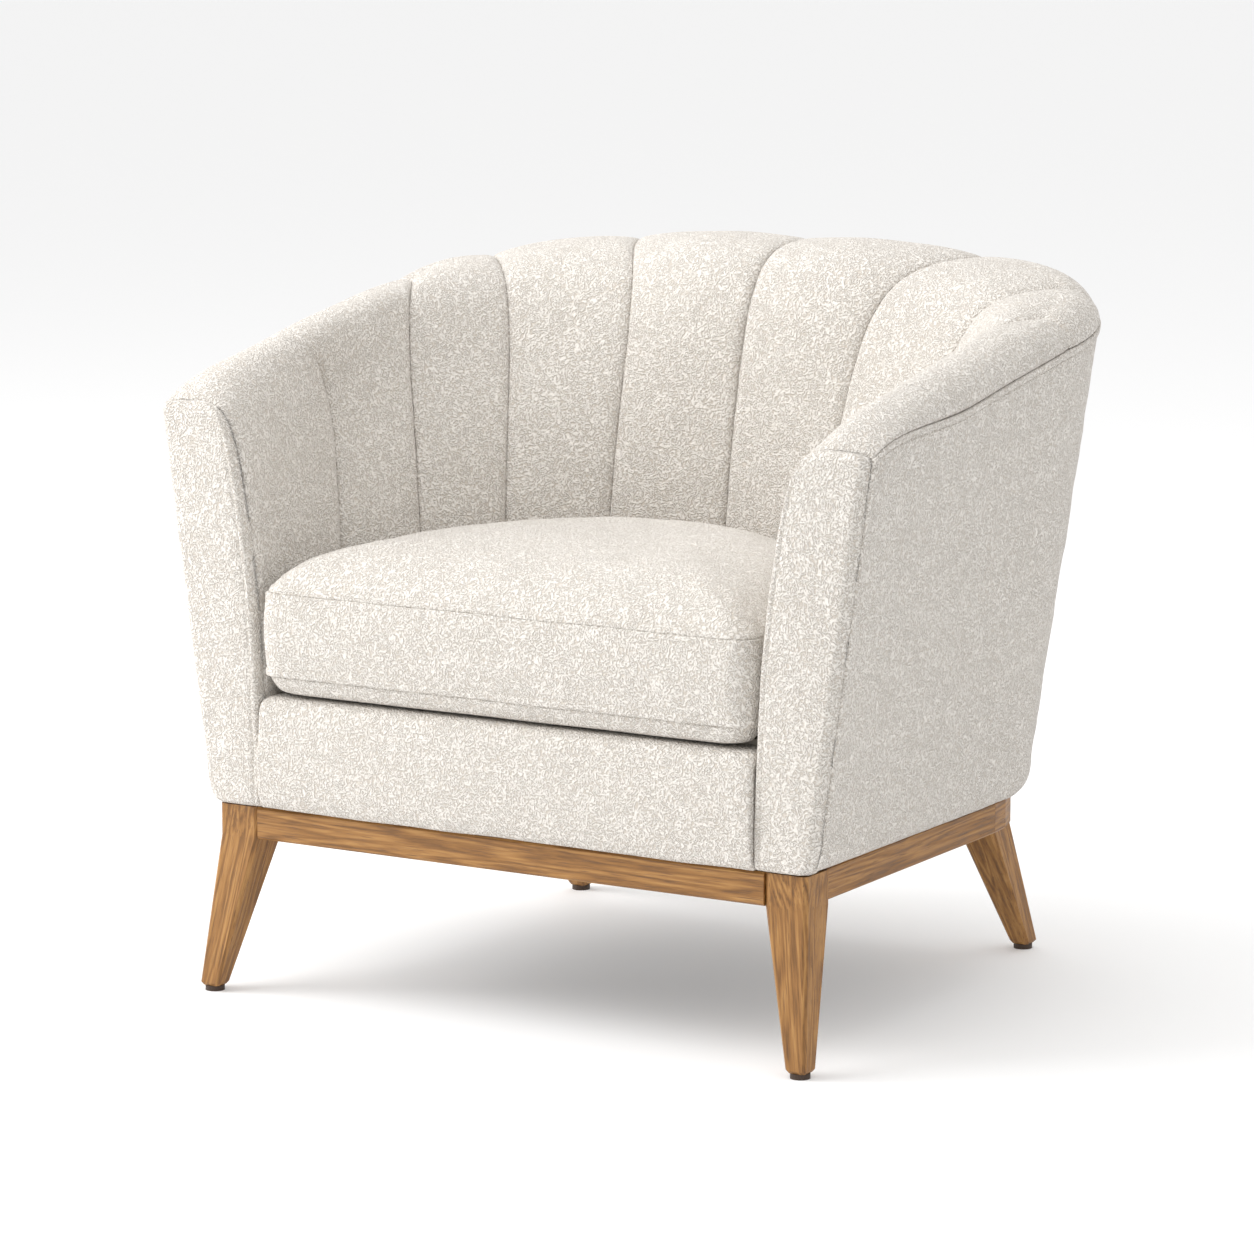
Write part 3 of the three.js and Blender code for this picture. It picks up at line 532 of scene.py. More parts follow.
def oak_material(name, rotation=(0, 0, 0), polar=None, shift=0.0):
    """Oiled oak with its grain along local Z after the rotation. polar gives the centre
    of a bent piece, whose grain follows the arc."""
    n = Nodes(name)
    if polar:
        split = n.add("SeparateXYZ", {0: n.object_coordinates()})
        dx = n.math("SUBTRACT", split.outputs[0], polar[0])
        dy = n.math("SUBTRACT", split.outputs[1], polar[1])
        squared = n.math("MULTIPLY_ADD", dx, dx, n.math("MULTIPLY", dy, dy))
        radius = n.math("SQRT", squared)
        arc = n.math("MULTIPLY", n.math("ARCTAN2", dy, dx), CORNER_RADIUS / 1000)
        place = n.add("CombineXYZ", {0: radius, 1: split.outputs[2], 2: arc}).outputs[0]
    else:
        place = n.mapped((1, 1, 1), rotation)
    stretched = n.vector("MULTIPLY", place, (1, 1, 0.06))
    moved = n.vector("ADD", stretched, (shift, shift * 2, shift))
    drift = n.noise(moved, 34, detail=2.0, roughness=0.5)
    fine = n.noise(moved, 150, detail=2.0, roughness=0.5)
    turns = n.math("MULTIPLY_ADD", drift, 72.0, n.math("MULTIPLY", fine, 4.5))
    rings = n.math("MULTIPLY_ADD", n.math("SINE", turns), 0.5, 0.5)
    streaks = n.noise(moved, 420, detail=3.0, roughness=0.65)
    streaks = n.math("MULTIPLY", n.math("SUBTRACT", streaks, 0.32), 2.8, clamp=True)
    grain = n.math("MULTIPLY_ADD", rings, 0.5, n.math("MULTIPLY", streaks, 0.5))
    colour = n.ramp(grain, [
        (0.08, srgb(112, 74, 30)),
        (0.38, srgb(140, 96, 45)),
        (0.65, srgb(158, 112, 57)),
        (0.95, srgb(174, 129, 73)),
    ])
    pores = n.noise(n.vector("MULTIPLY", moved, (1, 1, 0.5)), 1100, detail=1.0)
    pore_mask = n.math("MULTIPLY", n.math("SUBTRACT", pores, 0.6), 9.0, clamp=True)
    colour = n.mix(n.math("MULTIPLY", pore_mask, 0.6), colour, (*srgb(84, 52, 24), 1))
    height = n.math("SUBTRACT", grain, pore_mask)
    rough = n.math("MULTIPLY_ADD", streaks, 0.2, 0.4)
    return n.finish(Base_Color=colour, Roughness=rough, Normal=n.bump(height, 0.0003, 0.6))


def timber_material():
    """Sawn frame timber and plywood, inside the upholstery."""
    n = Nodes("frame_timber")
    place = n.mapped((1, 1, 0.1))
    grain = n.noise(place, 90, detail=3.0, distortion=0.4)
    colour = n.ramp(grain, [(0.3, srgb(176, 140, 96)), (0.7, srgb(214, 184, 140))])
    return n.finish(Base_Color=colour, Roughness=0.75, Normal=n.bump(grain, 0.0004))


def foam_material():
    n = Nodes("foam")
    voronoi = n.add("TexVoronoi", {"Vector": n.object_coordinates(), "Scale": 700.0})
    cells = voronoi.outputs["Distance"]
    colour = n.ramp(cells, [(0.0, srgb(205, 192, 146)), (0.6, srgb(240, 231, 196))])
    return n.finish(Base_Color=colour, Roughness=0.95, Normal=n.bump(cells, 0.0006))


def woven_material(name, dark, light, pitch):
    """A plain weave from two crossed waves."""
    n = Nodes(name)
    place = n.object_coordinates()
    over = n.add("TexWave", {"Vector": place, "Scale": pitch}, bands_direction="X").outputs["Fac"]
    under = n.add("TexWave", {"Vector": place, "Scale": pitch}, bands_direction="Y").outputs["Fac"]
    weave = n.math("MULTIPLY", over, under)
    fleck = n.noise(place, 400, detail=2.0)
    shade = n.math("MULTIPLY", n.math("ADD", weave, fleck), 0.5)
    colour = n.ramp(shade, [(0.1, dark), (0.8, light)])
    return n.finish(Base_Color=colour, Roughness=0.9, Normal=n.bump(weave, 0.0004))


def glide_material():
    n = Nodes("glide_nylon")
    speck = n.noise(n.object_coordinates(), 1200, detail=2.0)
    colour = n.ramp(speck, [(0.3, srgb(48, 34, 24)), (0.7, srgb(72, 52, 38))])
    rough = n.math("ADD", 0.45, n.math("MULTIPLY", speck, 0.25))
    return n.finish(Base_Color=colour, Roughness=rough, Normal=n.bump(speck, 0.0001))


def zinc_material():
    n = Nodes("zinc_plate")
    spangle = n.noise(n.object_coordinates(), 600, detail=3.0)
    colour = n.ramp(spangle, [(0.3, srgb(168, 170, 172)), (0.7, srgb(205, 207, 208))])
    rough = n.math("ADD", 0.25, n.math("MULTIPLY", spangle, 0.3))
    normal = n.bump(spangle, 0.0001)
    return n.finish(Base_Color=colour, Metallic=1.0, Roughness=rough, Normal=normal)


BOUCLE = boucle_material()
THREAD = thread_material()


def dress(names, material):
    for name in names:
        mesh = NODES[name].data
        mesh.materials.clear()
        mesh.materials.append(material)


def pair(name):
    return [name + "_left", name + "_right"]


def dress_frame():
    """Materials for the CAD nodes that stay as they are."""
    dress(["front_rail"], oak_material("oak_front", (0, math.pi / 2, 0), shift=0.1))
    dress(["rear_rail"], oak_material("oak_rear", (0, math.pi / 2, 0), shift=0.9))
    dress(pair("side_rail"), oak_material("oak_side", (math.pi / 2, 0, 0), shift=0.4))
    for k, side in enumerate((-1, 1)):
        name = pair("rear_corner_rail")[k]
        centre = (side * CORNER_X / 1000, (CORNER_Y + Y_SHIFT) / 1000)
        dress([name], oak_material("oak_corner_" + name, polar=centre, shift=0.3 + k))
        lean = side * math.radians(9)
        front = pair("front_leg")[k]
        dress([front], oak_material("oak_" + front, (math.radians(9), lean, 0), shift=1.7 + k))
        rear = pair("rear_leg")[k]
        dress([rear], oak_material("oak_" + rear, (math.radians(-20), lean, 0), shift=2.9 + k))
    timber = ["seat_frame_front", "seat_frame_rear", "back_top_rail"]
    for name in ("front_corner_block", "rear_corner_block", "seat_frame_side",
                 "arm_front_board", "corner_upright", "arm_top_rail"):
        timber += pair(name)
    dress(timber, timber_material())
    dress(["cushion_foam_core"], foam_material())
    webs = [n for n in NODES if n.startswith("seat_web")]
    dress(webs, woven_material("webbing", srgb(40, 32, 26), srgb(96, 82, 70), 160.0))
    lining = woven_material("lining", srgb(24, 24, 27), srgb(52, 52, 56), 420.0)
    dress(["dust_cover"], lining)
    deck_cloth = woven_material("deck_cloth", srgb(176, 168, 156), srgb(214, 207, 196), 420.0)
    dress(["seat_deck"], deck_cloth)
    dress(pair("front_glide") + pair("rear_glide"), glide_material())
    dress(pair("front_leg_bolt") + pair("rear_leg_bolt"), zinc_material())


dress_frame()

# ---- Channels -----------------------------------------------------------------------
CROWN = 6.5  # fullness of a channel between its seams
SEAM_DEPTH = 3.0
SEAM_RADIUS = 12.0
SEAM_NIP = 1.0  # the last, steep part of the tuck into a seam
SEAM_NIP_RADIUS = 2.2
SEAM_HALF_GAP = 0.0004  # of a channel's width
CHANNEL_COLUMNS = 34
CHANNEL_ROWS = np.concatenate([
    np.linspace(0, 1, 44)[:-1],
    np.linspace(1, 2, 34)[:-1],
    3 - (1 - np.linspace(0, 1, 34)) ** 1.7,
])


def seam_strength(seam, v):
    """How deeply each channel seam is drawn in along its height."""
    if seam == 0:
        return np.full_like(v, 0.75)
    if seam == 1:
        return 1 - smooth((v - 1.3) / 0.5)
    if seam == 2:
        return 1 - 0.35 * smooth((v - 1.8) / 0.5)
    return np.ones_like(v)


def seam_profile(distance):
    wide = np.clip(1 - distance / SEAM_RADIUS, 0, 1) ** 2
    nip = np.clip(1 - distance / SEAM_NIP_RADIUS, 0, 1) ** 1.5
    return SEAM_DEPTH * wide + SEAM_NIP * nip


def channel(index, side):
    u = graded(CHANNEL_COLUMNS, 0.75)
    v = CHANNEL_ROWS
    station = lerp(index + SEAM_HALF_GAP, index + 1 - SEAM_HALF_GAP, u)
    base = skin(station, v)
    inward = depthways(station, v)
    normal = normals_of(base)
    facing = np.sign(np.sum(normal * inward, axis=2, keepdims=True))
    normal = -normal * facing
    across = run_length(base, 0)
    width = across[-1]
    up = run_length(base, 1)
    to_outer = up[:, -1:] - up
    height = np.full(base.shape[:2], CROWN) * smooth(to_outer / 45) ** 0.5
    pucker = ripple(base, 22)
    for seam, distance, share in (
        (index, across, u),
        (index + 1, width - across, 1 - u),
    ):
        strength = seam_strength(seam, v)[None, :]
        pull = np.clip(1 - 2 * share, 0, 1)[:, None] ** 2.2
        near = np.exp(-distance / 7)
        height = height * (1 - strength * pull)
        puckered = 0.5 * near * pucker if seam else 0
        height = height - strength * (seam_profile(distance) + puckered)
    height = height - 2.6 * tuck(to_outer, 5.0) + 0.6 * ripple(base, 140)
    face = base + normal * height[..., None]
    fraction = wall_section(station)[0]
    depth = lerp(PAD_ARM, PAD_BACK, smooth((fraction - 0.2) / 0.5))[:, None]
    depth = np.where(v[None, :] <= 1, depth, lerp(depth, 14, smooth((v[None, :] - 1) / 2)))
    back = base + inward * depth[..., None]
    name = f"channel_{index + 1}_" + ("right" if side > 0 else "left")
    obj = make_object("padded_" + name, *pad_mesh(face, back), BOUCLE, FRAME_BODY, side)
    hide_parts(name)


for side in (-1, 1):
    for index in range(CHANNELS_PER_SIDE):
        channel(index, side)


# ---- Stitching ----------------------------------------------------------------------
STITCH_LENGTH = 3.4
STITCH_PITCH = 5.0
STITCH_RADIUS = 0.45


def resample(path, pitch):
    steps = np.linalg.norm(np.diff(path, axis=0), axis=1)
    along = np.concatenate([[0], np.cumsum(steps)])
    places = np.arange(pitch / 2, along[-1], pitch)
    return np.stack([np.interp(places, along, path[:, k]) for k in range(3)], axis=1)


def stitch_row(name, paths, body, side=1):
    """Short rounded stitches laid end to end along each path."""
    vertices, faces = [], []
    profile = [(-0.5, 0.25), (-0.3, 1.0), (0.3, 1.0), (0.5, 0.25)]
    sides = 6
    for path in paths:
        centres = resample(path, STITCH_PITCH)
        ways = np.gradient(centres, axis=0)
        ways /= np.linalg.norm(ways, axis=1, keepdims=True)
        for centre, way in zip(centres, ways):
            start = len(vertices)
            across = np.cross(way, [0.3, 0.5, 0.8])
            across /= np.linalg.norm(across)
            third = np.cross(way, across)
            for along, width in profile:
                for k in range(sides):
                    turn = 2 * math.pi * k / sides
                    ray = across * math.cos(turn) + third * math.sin(turn)
                    middle = centre + way * along * STITCH_LENGTH
                    vertices.append(middle + ray * width * STITCH_RADIUS)
            for ring in range(len(profile) - 1):
                for k in range(sides):
                    a = start + ring * sides + k
                    b = start + ring * sides + (k + 1) % sides
                    faces.append((a, b, b + sides, a + sides))
            faces.append(tuple(start + k for k in reversed(range(sides))))
            last = start + (len(profile) - 1) * sides
            faces.append(tuple(last + k for k in range(sides)))
    vertices = np.array(vertices)
    first = faces[: len(profile) * sides - sides + 2]
    if signed_volume(vertices, first) < 0:
        faces = [f[::-1] for f in faces]
    obj = make_object(name, vertices, faces, THREAD, body, side)


# ---- Outer covers -------------------------------------------------------------------
STRIP = 6.5  # flat topstitched strip beside the outer seams
STRIP_RISE = 2.2
STITCH_LINE = STRIP + 1.4  # where a strip's stitches lie, from its edge
COVER_JOINT = lerp(CORNER_START, CORNER_END, BACK_COVER_ANGLE / 90)
COVER_ROWS = 56


def cover_levels(top):
    """Heights from the outer seam down to the hem, finer at both ends."""
    near = np.linspace(0, 12, 19)[None, :-1]
    rest = (top[:, None] - 12 - TUCK_TOP) * np.linspace(0, 1, COVER_ROWS)[None, :] ** 1.3
    upper = top[:, None] - np.concatenate([np.tile(near, (len(top), 1)), 12 + rest], axis=1)
    hem = lerp(TUCK_TOP, TUCK_BOTTOM, np.linspace(0, 1, 14)[1:] ** 0.8)
    return np.concatenate([upper, np.tile(hem, (len(top), 1))], axis=1)


def cover_grids(fraction, side_sign, front_edge):
    z = cover_levels(outer_seam(fraction) - 0.4)
    x, y = rim(fraction[:, None], flare(z))
    base = stack(side_sign[:, None] * x, y, z)
    bx, by = rim(fraction[:, None], flare(z) - COVER)
    back = stack(side_sign[:, None] * bx, by, z)
    out = base - back
    out /= np.linalg.norm(out, axis=2, keepdims=True)
    from_top = run_length(base, 1)
    along = run_length(base, 0)
    height = 1.1 * ripple(base, 210) + 0.35 * ripple(base, 60)
    height += STRIP_RISE * (1 - smooth((from_top - STRIP) / 1.6)) - 2.2 * tuck(from_top, 2.2)
    height -= 1.2 * groove(from_top, STITCH_LINE, 1.0)
    if front_edge:
        height += STRIP_RISE * (1 - smooth((along - STRIP) / 1.6)) - 2.2 * tuck(along, 2.2)
        height -= 1.2 * groove(along, STITCH_LINE, 1.0)
    ends = [along[-1:] - along] if front_edge else [along, along[-1:] - along]
    for distance in ends:
        height -= 2.4 * tuck(distance, 5)
    face = base + out * height[..., None]
    return face, back


def edge_packed(count, start, end, fine=24):
    """Fractions from start to end with extra ones in the first and last strip."""
    strip = 2 * STRIP / RIM_LENGTH
    middle = np.linspace(start + strip, end - strip, count)
    head = np.linspace(start, start + strip, fine + 1)[:-1]
    tail = np.linspace(end - strip, end, fine + 1)[1:]
    return np.concatenate([head, middle, tail])


def outside_covers():
    fraction = edge_packed(80, 0, COVER_JOINT - 0.0003)
    for side, name in ((1, "outside_arm_right"), (-1, "outside_arm_left")):
        face, back = cover_grids(fraction, np.ones_like(fraction), True)
        obj = make_object("cover_" + name, *pad_mesh(face, back), BOUCLE, FRAME_BODY, side)
        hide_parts(name)
    half = edge_packed(60, COVER_JOINT + 0.0003, 1)
    fraction = np.concatenate([half, half[::-1][1:]])
    sign = np.concatenate([np.ones(len(half)), -np.ones(len(half) - 1)])
    face, back = cover_grids(fraction, sign, False)
    obj = make_object("cover_outside_back", *pad_mesh(face, back), BOUCLE, FRAME_BODY)
    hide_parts("outside_back")


outside_covers()

# ---- Arm front panels ---------------------------------------------------------------
PANEL_INSET = 0.8
PANEL_ROUND_INNER = 5.0
PANEL_ROUND_OUTER = 10.0
PANEL_ROUND_TOP = 13.0
PANEL_CORNER = 7.0  # rounding of the outline where the side meets the top
PANEL_CROWN = 2.0
PANEL_FOOT_X = 288.6
TOP_FROM, TOP_TO = 1.7, 2.45  # the stretch of the wall section that is the panel's top
PANEL_COLUMNS = 44
PANEL_ROWS = 130


def even_path(points, count, packed=None):
    steps = np.linalg.norm(np.diff(points, axis=0), axis=1)
    along = np.concatenate([[0], np.cumsum(steps)])
    places = (np.linspace(0, 1, count) if packed is None else packed) * along[-1]
    return np.stack([np.interp(places, along, points[:, k]) for k in range(2)], axis=1)


def soften(path, radius):
    """The same path with its corners rounded off."""
    length = np.linalg.norm(np.diff(path, axis=0), axis=1).sum()
    points = even_path(path, int(length) + 1)
    reach = int(radius)
    padded = np.concatenate([
        2 * points[:1] - points[reach:0:-1],
        points,
        2 * points[-1:] - points[-2:-reach - 2:-1],
    ])
    kernel = np.hanning(2 * reach + 3)[1:-1]
    kernel /= kernel.sum()
    return np.stack([np.convolve(padded[:, k], kernel, "valid") for k in (0, 1)], axis=1)


def panel_edges():
    """The panel's inner, outer, bottom and top edges in x and z."""
    zero = np.array([0.0])

    def wall(v0, v1):
        v = np.linspace(v0, v1, 90)
        return (skin(zero, v) + depthways(zero, v) * PANEL_INSET)[0][:, [0, 2]]

    foot = np.array([[PANEL_FOOT_X, TUCK_BOTTOM + 1], [PANEL_FOOT_X, BASE_Z - 40]])
    inner = np.concatenate([foot, wall(0.1, TOP_FROM)])
    z = np.linspace(TUCK_BOTTOM + 1, outer_seam(0.0), 160)
    side = np.stack([rim(0.0, flare(z) - PANEL_INSET)[0], z], axis=1)
    outer = np.concatenate([side[:-2], wall(3, TOP_TO)])
    rows = graded(PANEL_ROWS - 1, 0.5)
    columns = graded(PANEL_COLUMNS - 1, 0.7)
    inner = even_path(soften(inner, 12), PANEL_ROWS, rows)
    outer = even_path(soften(outer, PANEL_CORNER), PANEL_ROWS, rows)
    bottom = lerp(inner[:1], outer[:1], columns[:, None])
    top = even_path(wall(TOP_FROM, TOP_TO), PANEL_COLUMNS, columns)
    return inner, outer, bottom, top, columns, rows


def arm_front_panel(side, name):
    inner, outer, bottom, top, c, r = panel_edges()
    c, r = c[:, None, None], r[None, :, None]
    ruled = lerp(inner[None], outer[None], c)
    lofted = lerp(bottom[:, None], top[:, None], r)
    corners = lerp(lerp(inner[0], outer[0], c), lerp(inner[-1], outer[-1], c), r)
    flat = ruled + lofted - corners
    points = stack(flat[..., 0], WALL_FRONT - 0.4, flat[..., 1])
    across = run_length(points, 0)
    up = run_length(points, 1)
    to_inner, to_outer = across, across[-1:] - across
    to_top, to_foot = up[:, -1:] - up, up
    rounding = np.minimum.reduce([
        1 - tuck(to_inner, PANEL_ROUND_INNER),
        1 - tuck(to_outer, PANEL_ROUND_OUTER),
        1 - tuck(to_top, PANEL_ROUND_TOP),
    ])
    depth = (WALL_FRONT - 0.4 - PANEL_FRONT) * rounding
    depth -= 5 * tuck(to_foot, 10)
    share = np.clip(across / across[-1:], 0, 1)
    depth += PANEL_CROWN * (1 - (2 * share - 1) ** 2) * smooth(to_top / 60)
    depth += 0.6 * ripple(points, 120)
    stitch_at = STRIP + 2.5
    depth -= 1.3 * groove(to_inner, stitch_at, 1.2) * smooth((to_top - 12) / 50)
    face = points.copy()
    face[..., 1] -= depth
    obj = make_object("padded_" + name, *pad_mesh(face, points), BOUCLE, FRAME_BODY, side)
    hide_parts(name)
    nearest = np.argmin(np.abs(to_inner - stitch_at), axis=0)
    line = face[nearest, np.arange(face.shape[1])]
    line = line[(line[:, 2] < line[-1, 2] - 25)]
    line[:, 1] -= 0.1
    stitch_row("stitching_" + name, [line], FRAME_BODY, side)


arm_front_panel(1, "arm_front_panel_right")
arm_front_panel(-1, "arm_front_panel_left")


# ---- Front border -------------------------------------------------------------------
def front_border():
    """The padded band below the cushion, rolled back over the seat frame."""
    quarter = np.linspace(0, math.pi / 2, 12)
    hem = [(9 - 9 * math.sin(a), TUCK_BOTTOM + 22 * (1 - math.cos(a))) for a in quarter]
    face_z = np.linspace(TUCK_BOTTOM + 22, BORDER_TOP - 16, 34)[1:]
    rise = [(0.0, z) for z in face_z]
    over = [(18 - 18 * math.cos(a), BORDER_TOP - 16 + 16 * math.sin(a)) for a in quarter[1:]]
    rear = [(y, BORDER_TOP) for y in np.linspace(18, BORDER_REAR, 8)[1:]]
    profile = np.array(hem + rise + over + rear)
    inner = profile.copy()
    inner[:, 0] = np.minimum(profile[:, 0] + 14, BORDER_REAR)
    inner[:, 1] = np.minimum(profile[:, 1], BORDER_TOP - 12)
    x = graded(150, 0.6) * 2 * BORDER_HALF - BORDER_HALF
    face = stack(x[:, None], profile[None, :, 0], profile[None, :, 1])
    back = stack(x[:, None], inner[None, :, 0], inner[None, :, 1])
    normal = normals_of(face)
    normal *= np.sign(-normal[75, 30, 1])
    to_end = np.minimum(face[..., 0] + BORDER_HALF, BORDER_HALF - face[..., 0])
    belly = smooth((face[..., 2] - 200) / 50) * smooth((BORDER_TOP - face[..., 2]) / 50)
    on_top = smooth((face[..., 2] - BORDER_TOP + 14) / 14)
    height = 2.2 * belly + 3.0 * on_top + 0.8 * ripple(face, 170) * (1 - on_top)
    low_end = smooth((BORDER_TOP - 30 - face[..., 2]) / 30)
    height -= lerp(5 * tuck(to_end, 10), 0.8 * tuck(to_end, 2), low_end)
    face = face + normal * height[..., None]
    obj = make_object("padded_front_border", *pad_mesh(face, back), BOUCLE, FRAME_BODY)
    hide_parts("front_border")


front_border()

# ---- Seat cushion -------------------------------------------------------------------
CUSHION_COLUMNS = 440
SHOULDER_Y = CUSHION_FRONT + CUSHION_CORNER


def cushion_plan(inset, columns=CUSHION_COLUMNS):
    """Closed plan of the cushion, anticlockwise from the middle of the front."""
    half = CUSHION_HALF - inset
    corner = CUSHION_CORNER - inset
    front = CUSHION_FRONT + inset
    quarter = np.linspace(0, math.pi / 2, 40)
    straight = np.stack([np.linspace(0, half - corner, 30)[:-1], np.full(29, front)], axis=1)
    round_x = half - corner + corner * np.sin(quarter)
    round_y = front + corner - corner * np.cos(quarter)
    power = 2 / SEAT_SQUARENESS
    depth = CUSHION_BACK - inset - SHOULDER_Y
    sweep = np.linspace(0, math.pi / 2, 120)[1:]
    back_x = half * np.maximum(0, np.cos(sweep)) ** power
    back_y = SHOULDER_Y + depth * np.sin(sweep) ** power
    right = np.concatenate([
        straight,
        np.stack([round_x, round_y], axis=1),
        np.stack([back_x, back_y], axis=1),
    ])
    left = right[::-1][1:-1] * np.array([-1, 1])
    loop = np.concatenate([right, left, right[:1]])
    return even_path(loop, columns + 1)[:-1]


CUSHION_MIDDLE = np.array([0.0, (CUSHION_FRONT + CUSHION_BACK) / 2])


def shrink(plan, scale):
    return CUSHION_MIDDLE + (plan - CUSHION_MIDDLE) * scale


def cushion_piece(name, face, back, node):
    obj = make_object(name, *ring_mesh(face, back), BOUCLE, CUSHION_BODY)
    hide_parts(node)


def ears(plan):
    """The pinched front corners, drawn out a little at the seams."""
    half = CUSHION_HALF - CUSHION_CORNER * 0.3
    front = CUSHION_FRONT + CUSHION_CORNER * 0.3
    reach = np.hypot(np.abs(plan[:, 0]) - half, plan[:, 1] - front)
    return 3.0 * np.exp(-((reach / 14) ** 2))


def seam_wander(plan):
    """Small rise and fall of the sewn edges."""
    points = stack(plan[:, 0], plan[:, 1], 0.0)
    return 0.8 * ripple(points, 260)


def dome(plan, scales, seam_z, crown_z, wander, squareness, power):
    """Rings from the sewn edge in to the middle of a crowned panel."""
    rings = []
    for scale in scales:
        ring = shrink(plan, scale)
        rise = max(0.0, 1 - scale**squareness) ** power
        z = seam_z + (crown_z - seam_z) * rise + wander * scale**6
        rings.append(stack(ring[:, 0], ring[:, 1], z))
    return np.stack(rings, axis=1)


def top_panel():
    plan = cushion_plan(1.5)
    wander = seam_wander(plan)
    scales = 1 - np.linspace(0, 1, 60) ** 2.2 * 0.9995
    face = dome(plan, scales, CUSHION_SEAM_TOP + 0.05, CUSHION_CROWN, wander, 4, CROWN_POWER)
    from_seam = run_length(face, 1)
    normal = normals_of(face)
    normal *= np.sign(normal[:, -2:-1, 2:])
    height = 1.2 * (1 - smooth((from_seam - STRIP) / 2.0)) - 0.9 * tuck(from_seam, 2.0)
    height -= 0.8 * groove(from_seam, STITCH_LINE, 1.2)
    height += (0.9 * ripple(face, 150) + 0.4 * ripple(face, 70)) * smooth(from_seam / 20)
    face = face + normal * height[..., None]
    back = face.copy()
    back[..., 2] = lerp(CUSHION_SEAM_TOP - 11.4, face[..., 2], 0.3)
    inner = cushion_plan(14)
    for k, scale in enumerate(scales):
        back[:, k, :2] = shrink(inner, scale)
    cushion_piece("cushion_top_panel", face, back, "cushion_top")
    at = np.argmin(np.abs(from_seam - STITCH_LINE), axis=1)
    line = face[np.arange(len(face)), at]
    stitch_row("stitching_cushion_top", [np.vstack([line, line[:1]])], CUSHION_BODY)


def boxing():
    rows = graded(46, 0.6)
    plan = cushion_plan(0)
    wander = seam_wander(plan)
    ring = stack(plan[:, 0], plan[:, 1], 0.0)
    face = np.repeat(ring[:, None], len(rows), axis=1)
    low = CUSHION_SEAM_LOW + wander * 0.8
    high = CUSHION_SEAM_TOP - 0.05 + wander
    face[..., 2] = lerp(low[:, None], high[:, None], rows[None, :])
    out = np.stack([np.gradient(plan[:, 1]), -np.gradient(plan[:, 0])], axis=1)
    out /= np.linalg.norm(out, axis=1, keepdims=True)
    from_low = face[..., 2] - low[:, None]
    from_high = high[:, None] - face[..., 2]
    height = 4.5 * (1 - (2 * rows[None, :] - 1) ** 2) + 0.8 * ripple(face, 120)
    height -= 0.9 * tuck(from_high, 2.0) + 0.9 * tuck(from_low, 2.0)
    height += 1.0 * (1 - smooth((from_low - STRIP) / 2.0))
    height += ears(plan)[:, None] * np.exp(-np.minimum(from_low, from_high) / 9)
    height -= 0.8 * groove(from_low, STITCH_LINE, 1.2)
    inner = cushion_plan(12.4)
    back = face.copy()
    back[..., :2] = inner[:, None]
    face[..., :2] += out[:, None] * height[..., None]
    cushion_piece("cushion_boxing_band", face, back, "cushion_boxing")
    at = np.argmin(np.abs(from_low - STITCH_LINE), axis=1)
    line = face[np.arange(len(face)), at]
    stitch_row("stitching_cushion_low", [np.vstack([line, line[:1]])], CUSHION_BODY)


BELLY_DROOP = 7.0  # the cushion hangs a little over the front border


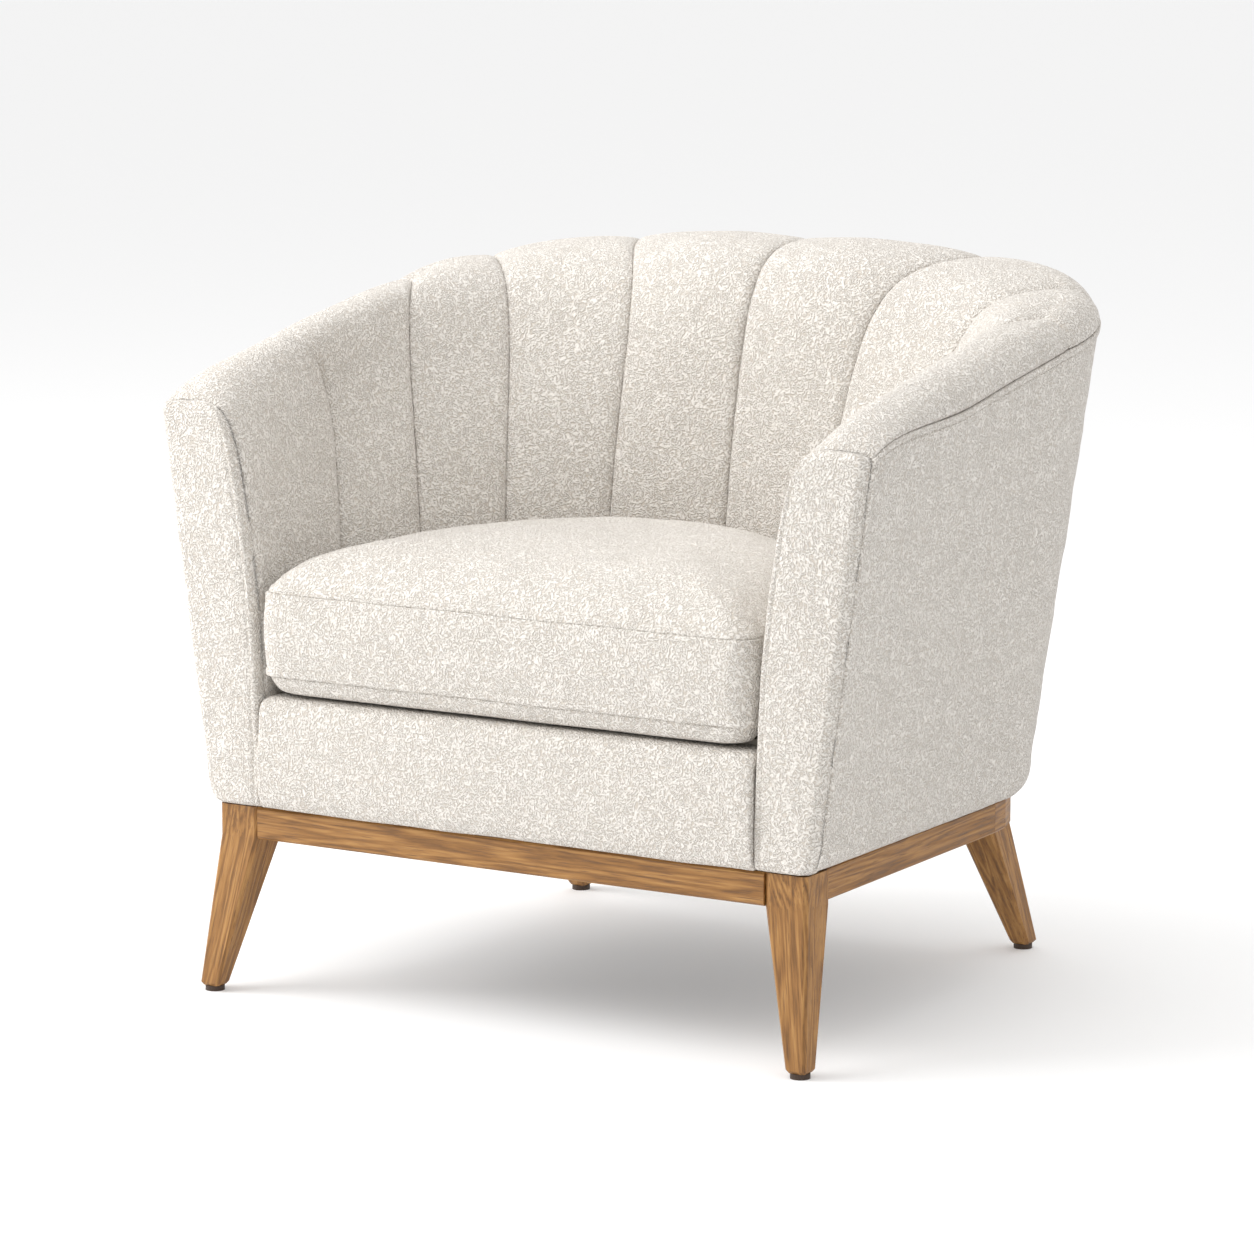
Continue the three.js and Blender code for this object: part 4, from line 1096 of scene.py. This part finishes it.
def bottom_panel():
    plan = cushion_plan(1.5)
    wander = seam_wander(plan) * 0.8
    scales = 1 - np.linspace(0, 1, 50) ** 2.2 * 0.9995
    face = dome(plan, scales, CUSHION_SEAM_LOW - 0.15, CUSHION_BOTTOM, wander, 11, 0.5)
    from_seam = run_length(face, 1)
    normal = normals_of(face)
    normal *= -np.sign(normal[:, -2:-1, 2:])
    height = -0.9 * tuck(from_seam, 2.0)
    face = face + normal * height[..., None]
    over_deck = smooth((face[..., 1] - 25) / 18)
    droop = BELLY_DROOP * (1 - over_deck) * smooth(from_seam / 16)
    lowest = lerp(CUSHION_BOTTOM - BELLY_DROOP, CUSHION_BOTTOM, over_deck)
    face[..., 2] = np.maximum(face[..., 2] - droop, lowest)
    back = face.copy()
    inner = cushion_plan(14)
    for k, scale in enumerate(scales):
        back[:, k, :2] = shrink(inner, scale)
    back[..., 2] = np.maximum(face[..., 2] + 2, 329.0)
    cushion_piece("cushion_bottom_panel", face, back, "cushion_bottom")


top_panel()
boxing()
bottom_panel()


# ---- Room and light -----------------------------------------------------------------
def area_light(name, place, aim, size, power, colour=(1, 1, 1)):
    data = bpy.data.lights.new(name, "AREA")
    data.shape = "RECTANGLE"
    data.size, data.size_y = size
    data.energy = power
    data.color = colour
    light = bpy.data.objects.new(name, data)
    light.location = place
    light.rotation_euler = (Vector(aim) - Vector(place)).to_track_quat("-Z", "Y").to_euler()
    bpy.context.scene.collection.objects.link(light)


def make_room():
    n = Nodes("studio_floor")
    n.finish(
        Base_Color=(0.79, 0.79, 0.79, 1),
        Roughness=0.9,
        Emission_Color=(1, 1, 1, 1),
        Emission_Strength=0.2,
    )
    size = 30.0
    mesh = bpy.data.meshes.new("floor")
    mesh.from_pydata(
        [(-size, -size, 0), (size, -size, 0), (size, size, 0), (-size, size, 0)], [], [(0, 1, 2, 3)]
    )
    mesh.materials.append(n.material)
    floor = bpy.data.objects.new("floor", mesh)
    bpy.context.scene.collection.objects.link(floor)
    world = bpy.data.worlds.new("studio")
    world.use_nodes = True
    world.node_tree.nodes["Background"].inputs["Color"].default_value = (1, 1, 1, 1)
    world.node_tree.nodes["Background"].inputs["Strength"].default_value = 0.87
    bpy.context.scene.world = world
    middle = (0, 0, 0.4)
    area_light("key", (-2.6, -2.2, 3.2), middle, (2.4, 2.4), 88)
    area_light("fill", (-3.4, -1.4, 1.6), middle, (2.0, 2.0), 62)
    area_light("top", (0, 0, 3.8), middle, (3.0, 3.0), 36)
    bpy.context.scene.view_settings.view_transform = "Standard"


make_room()
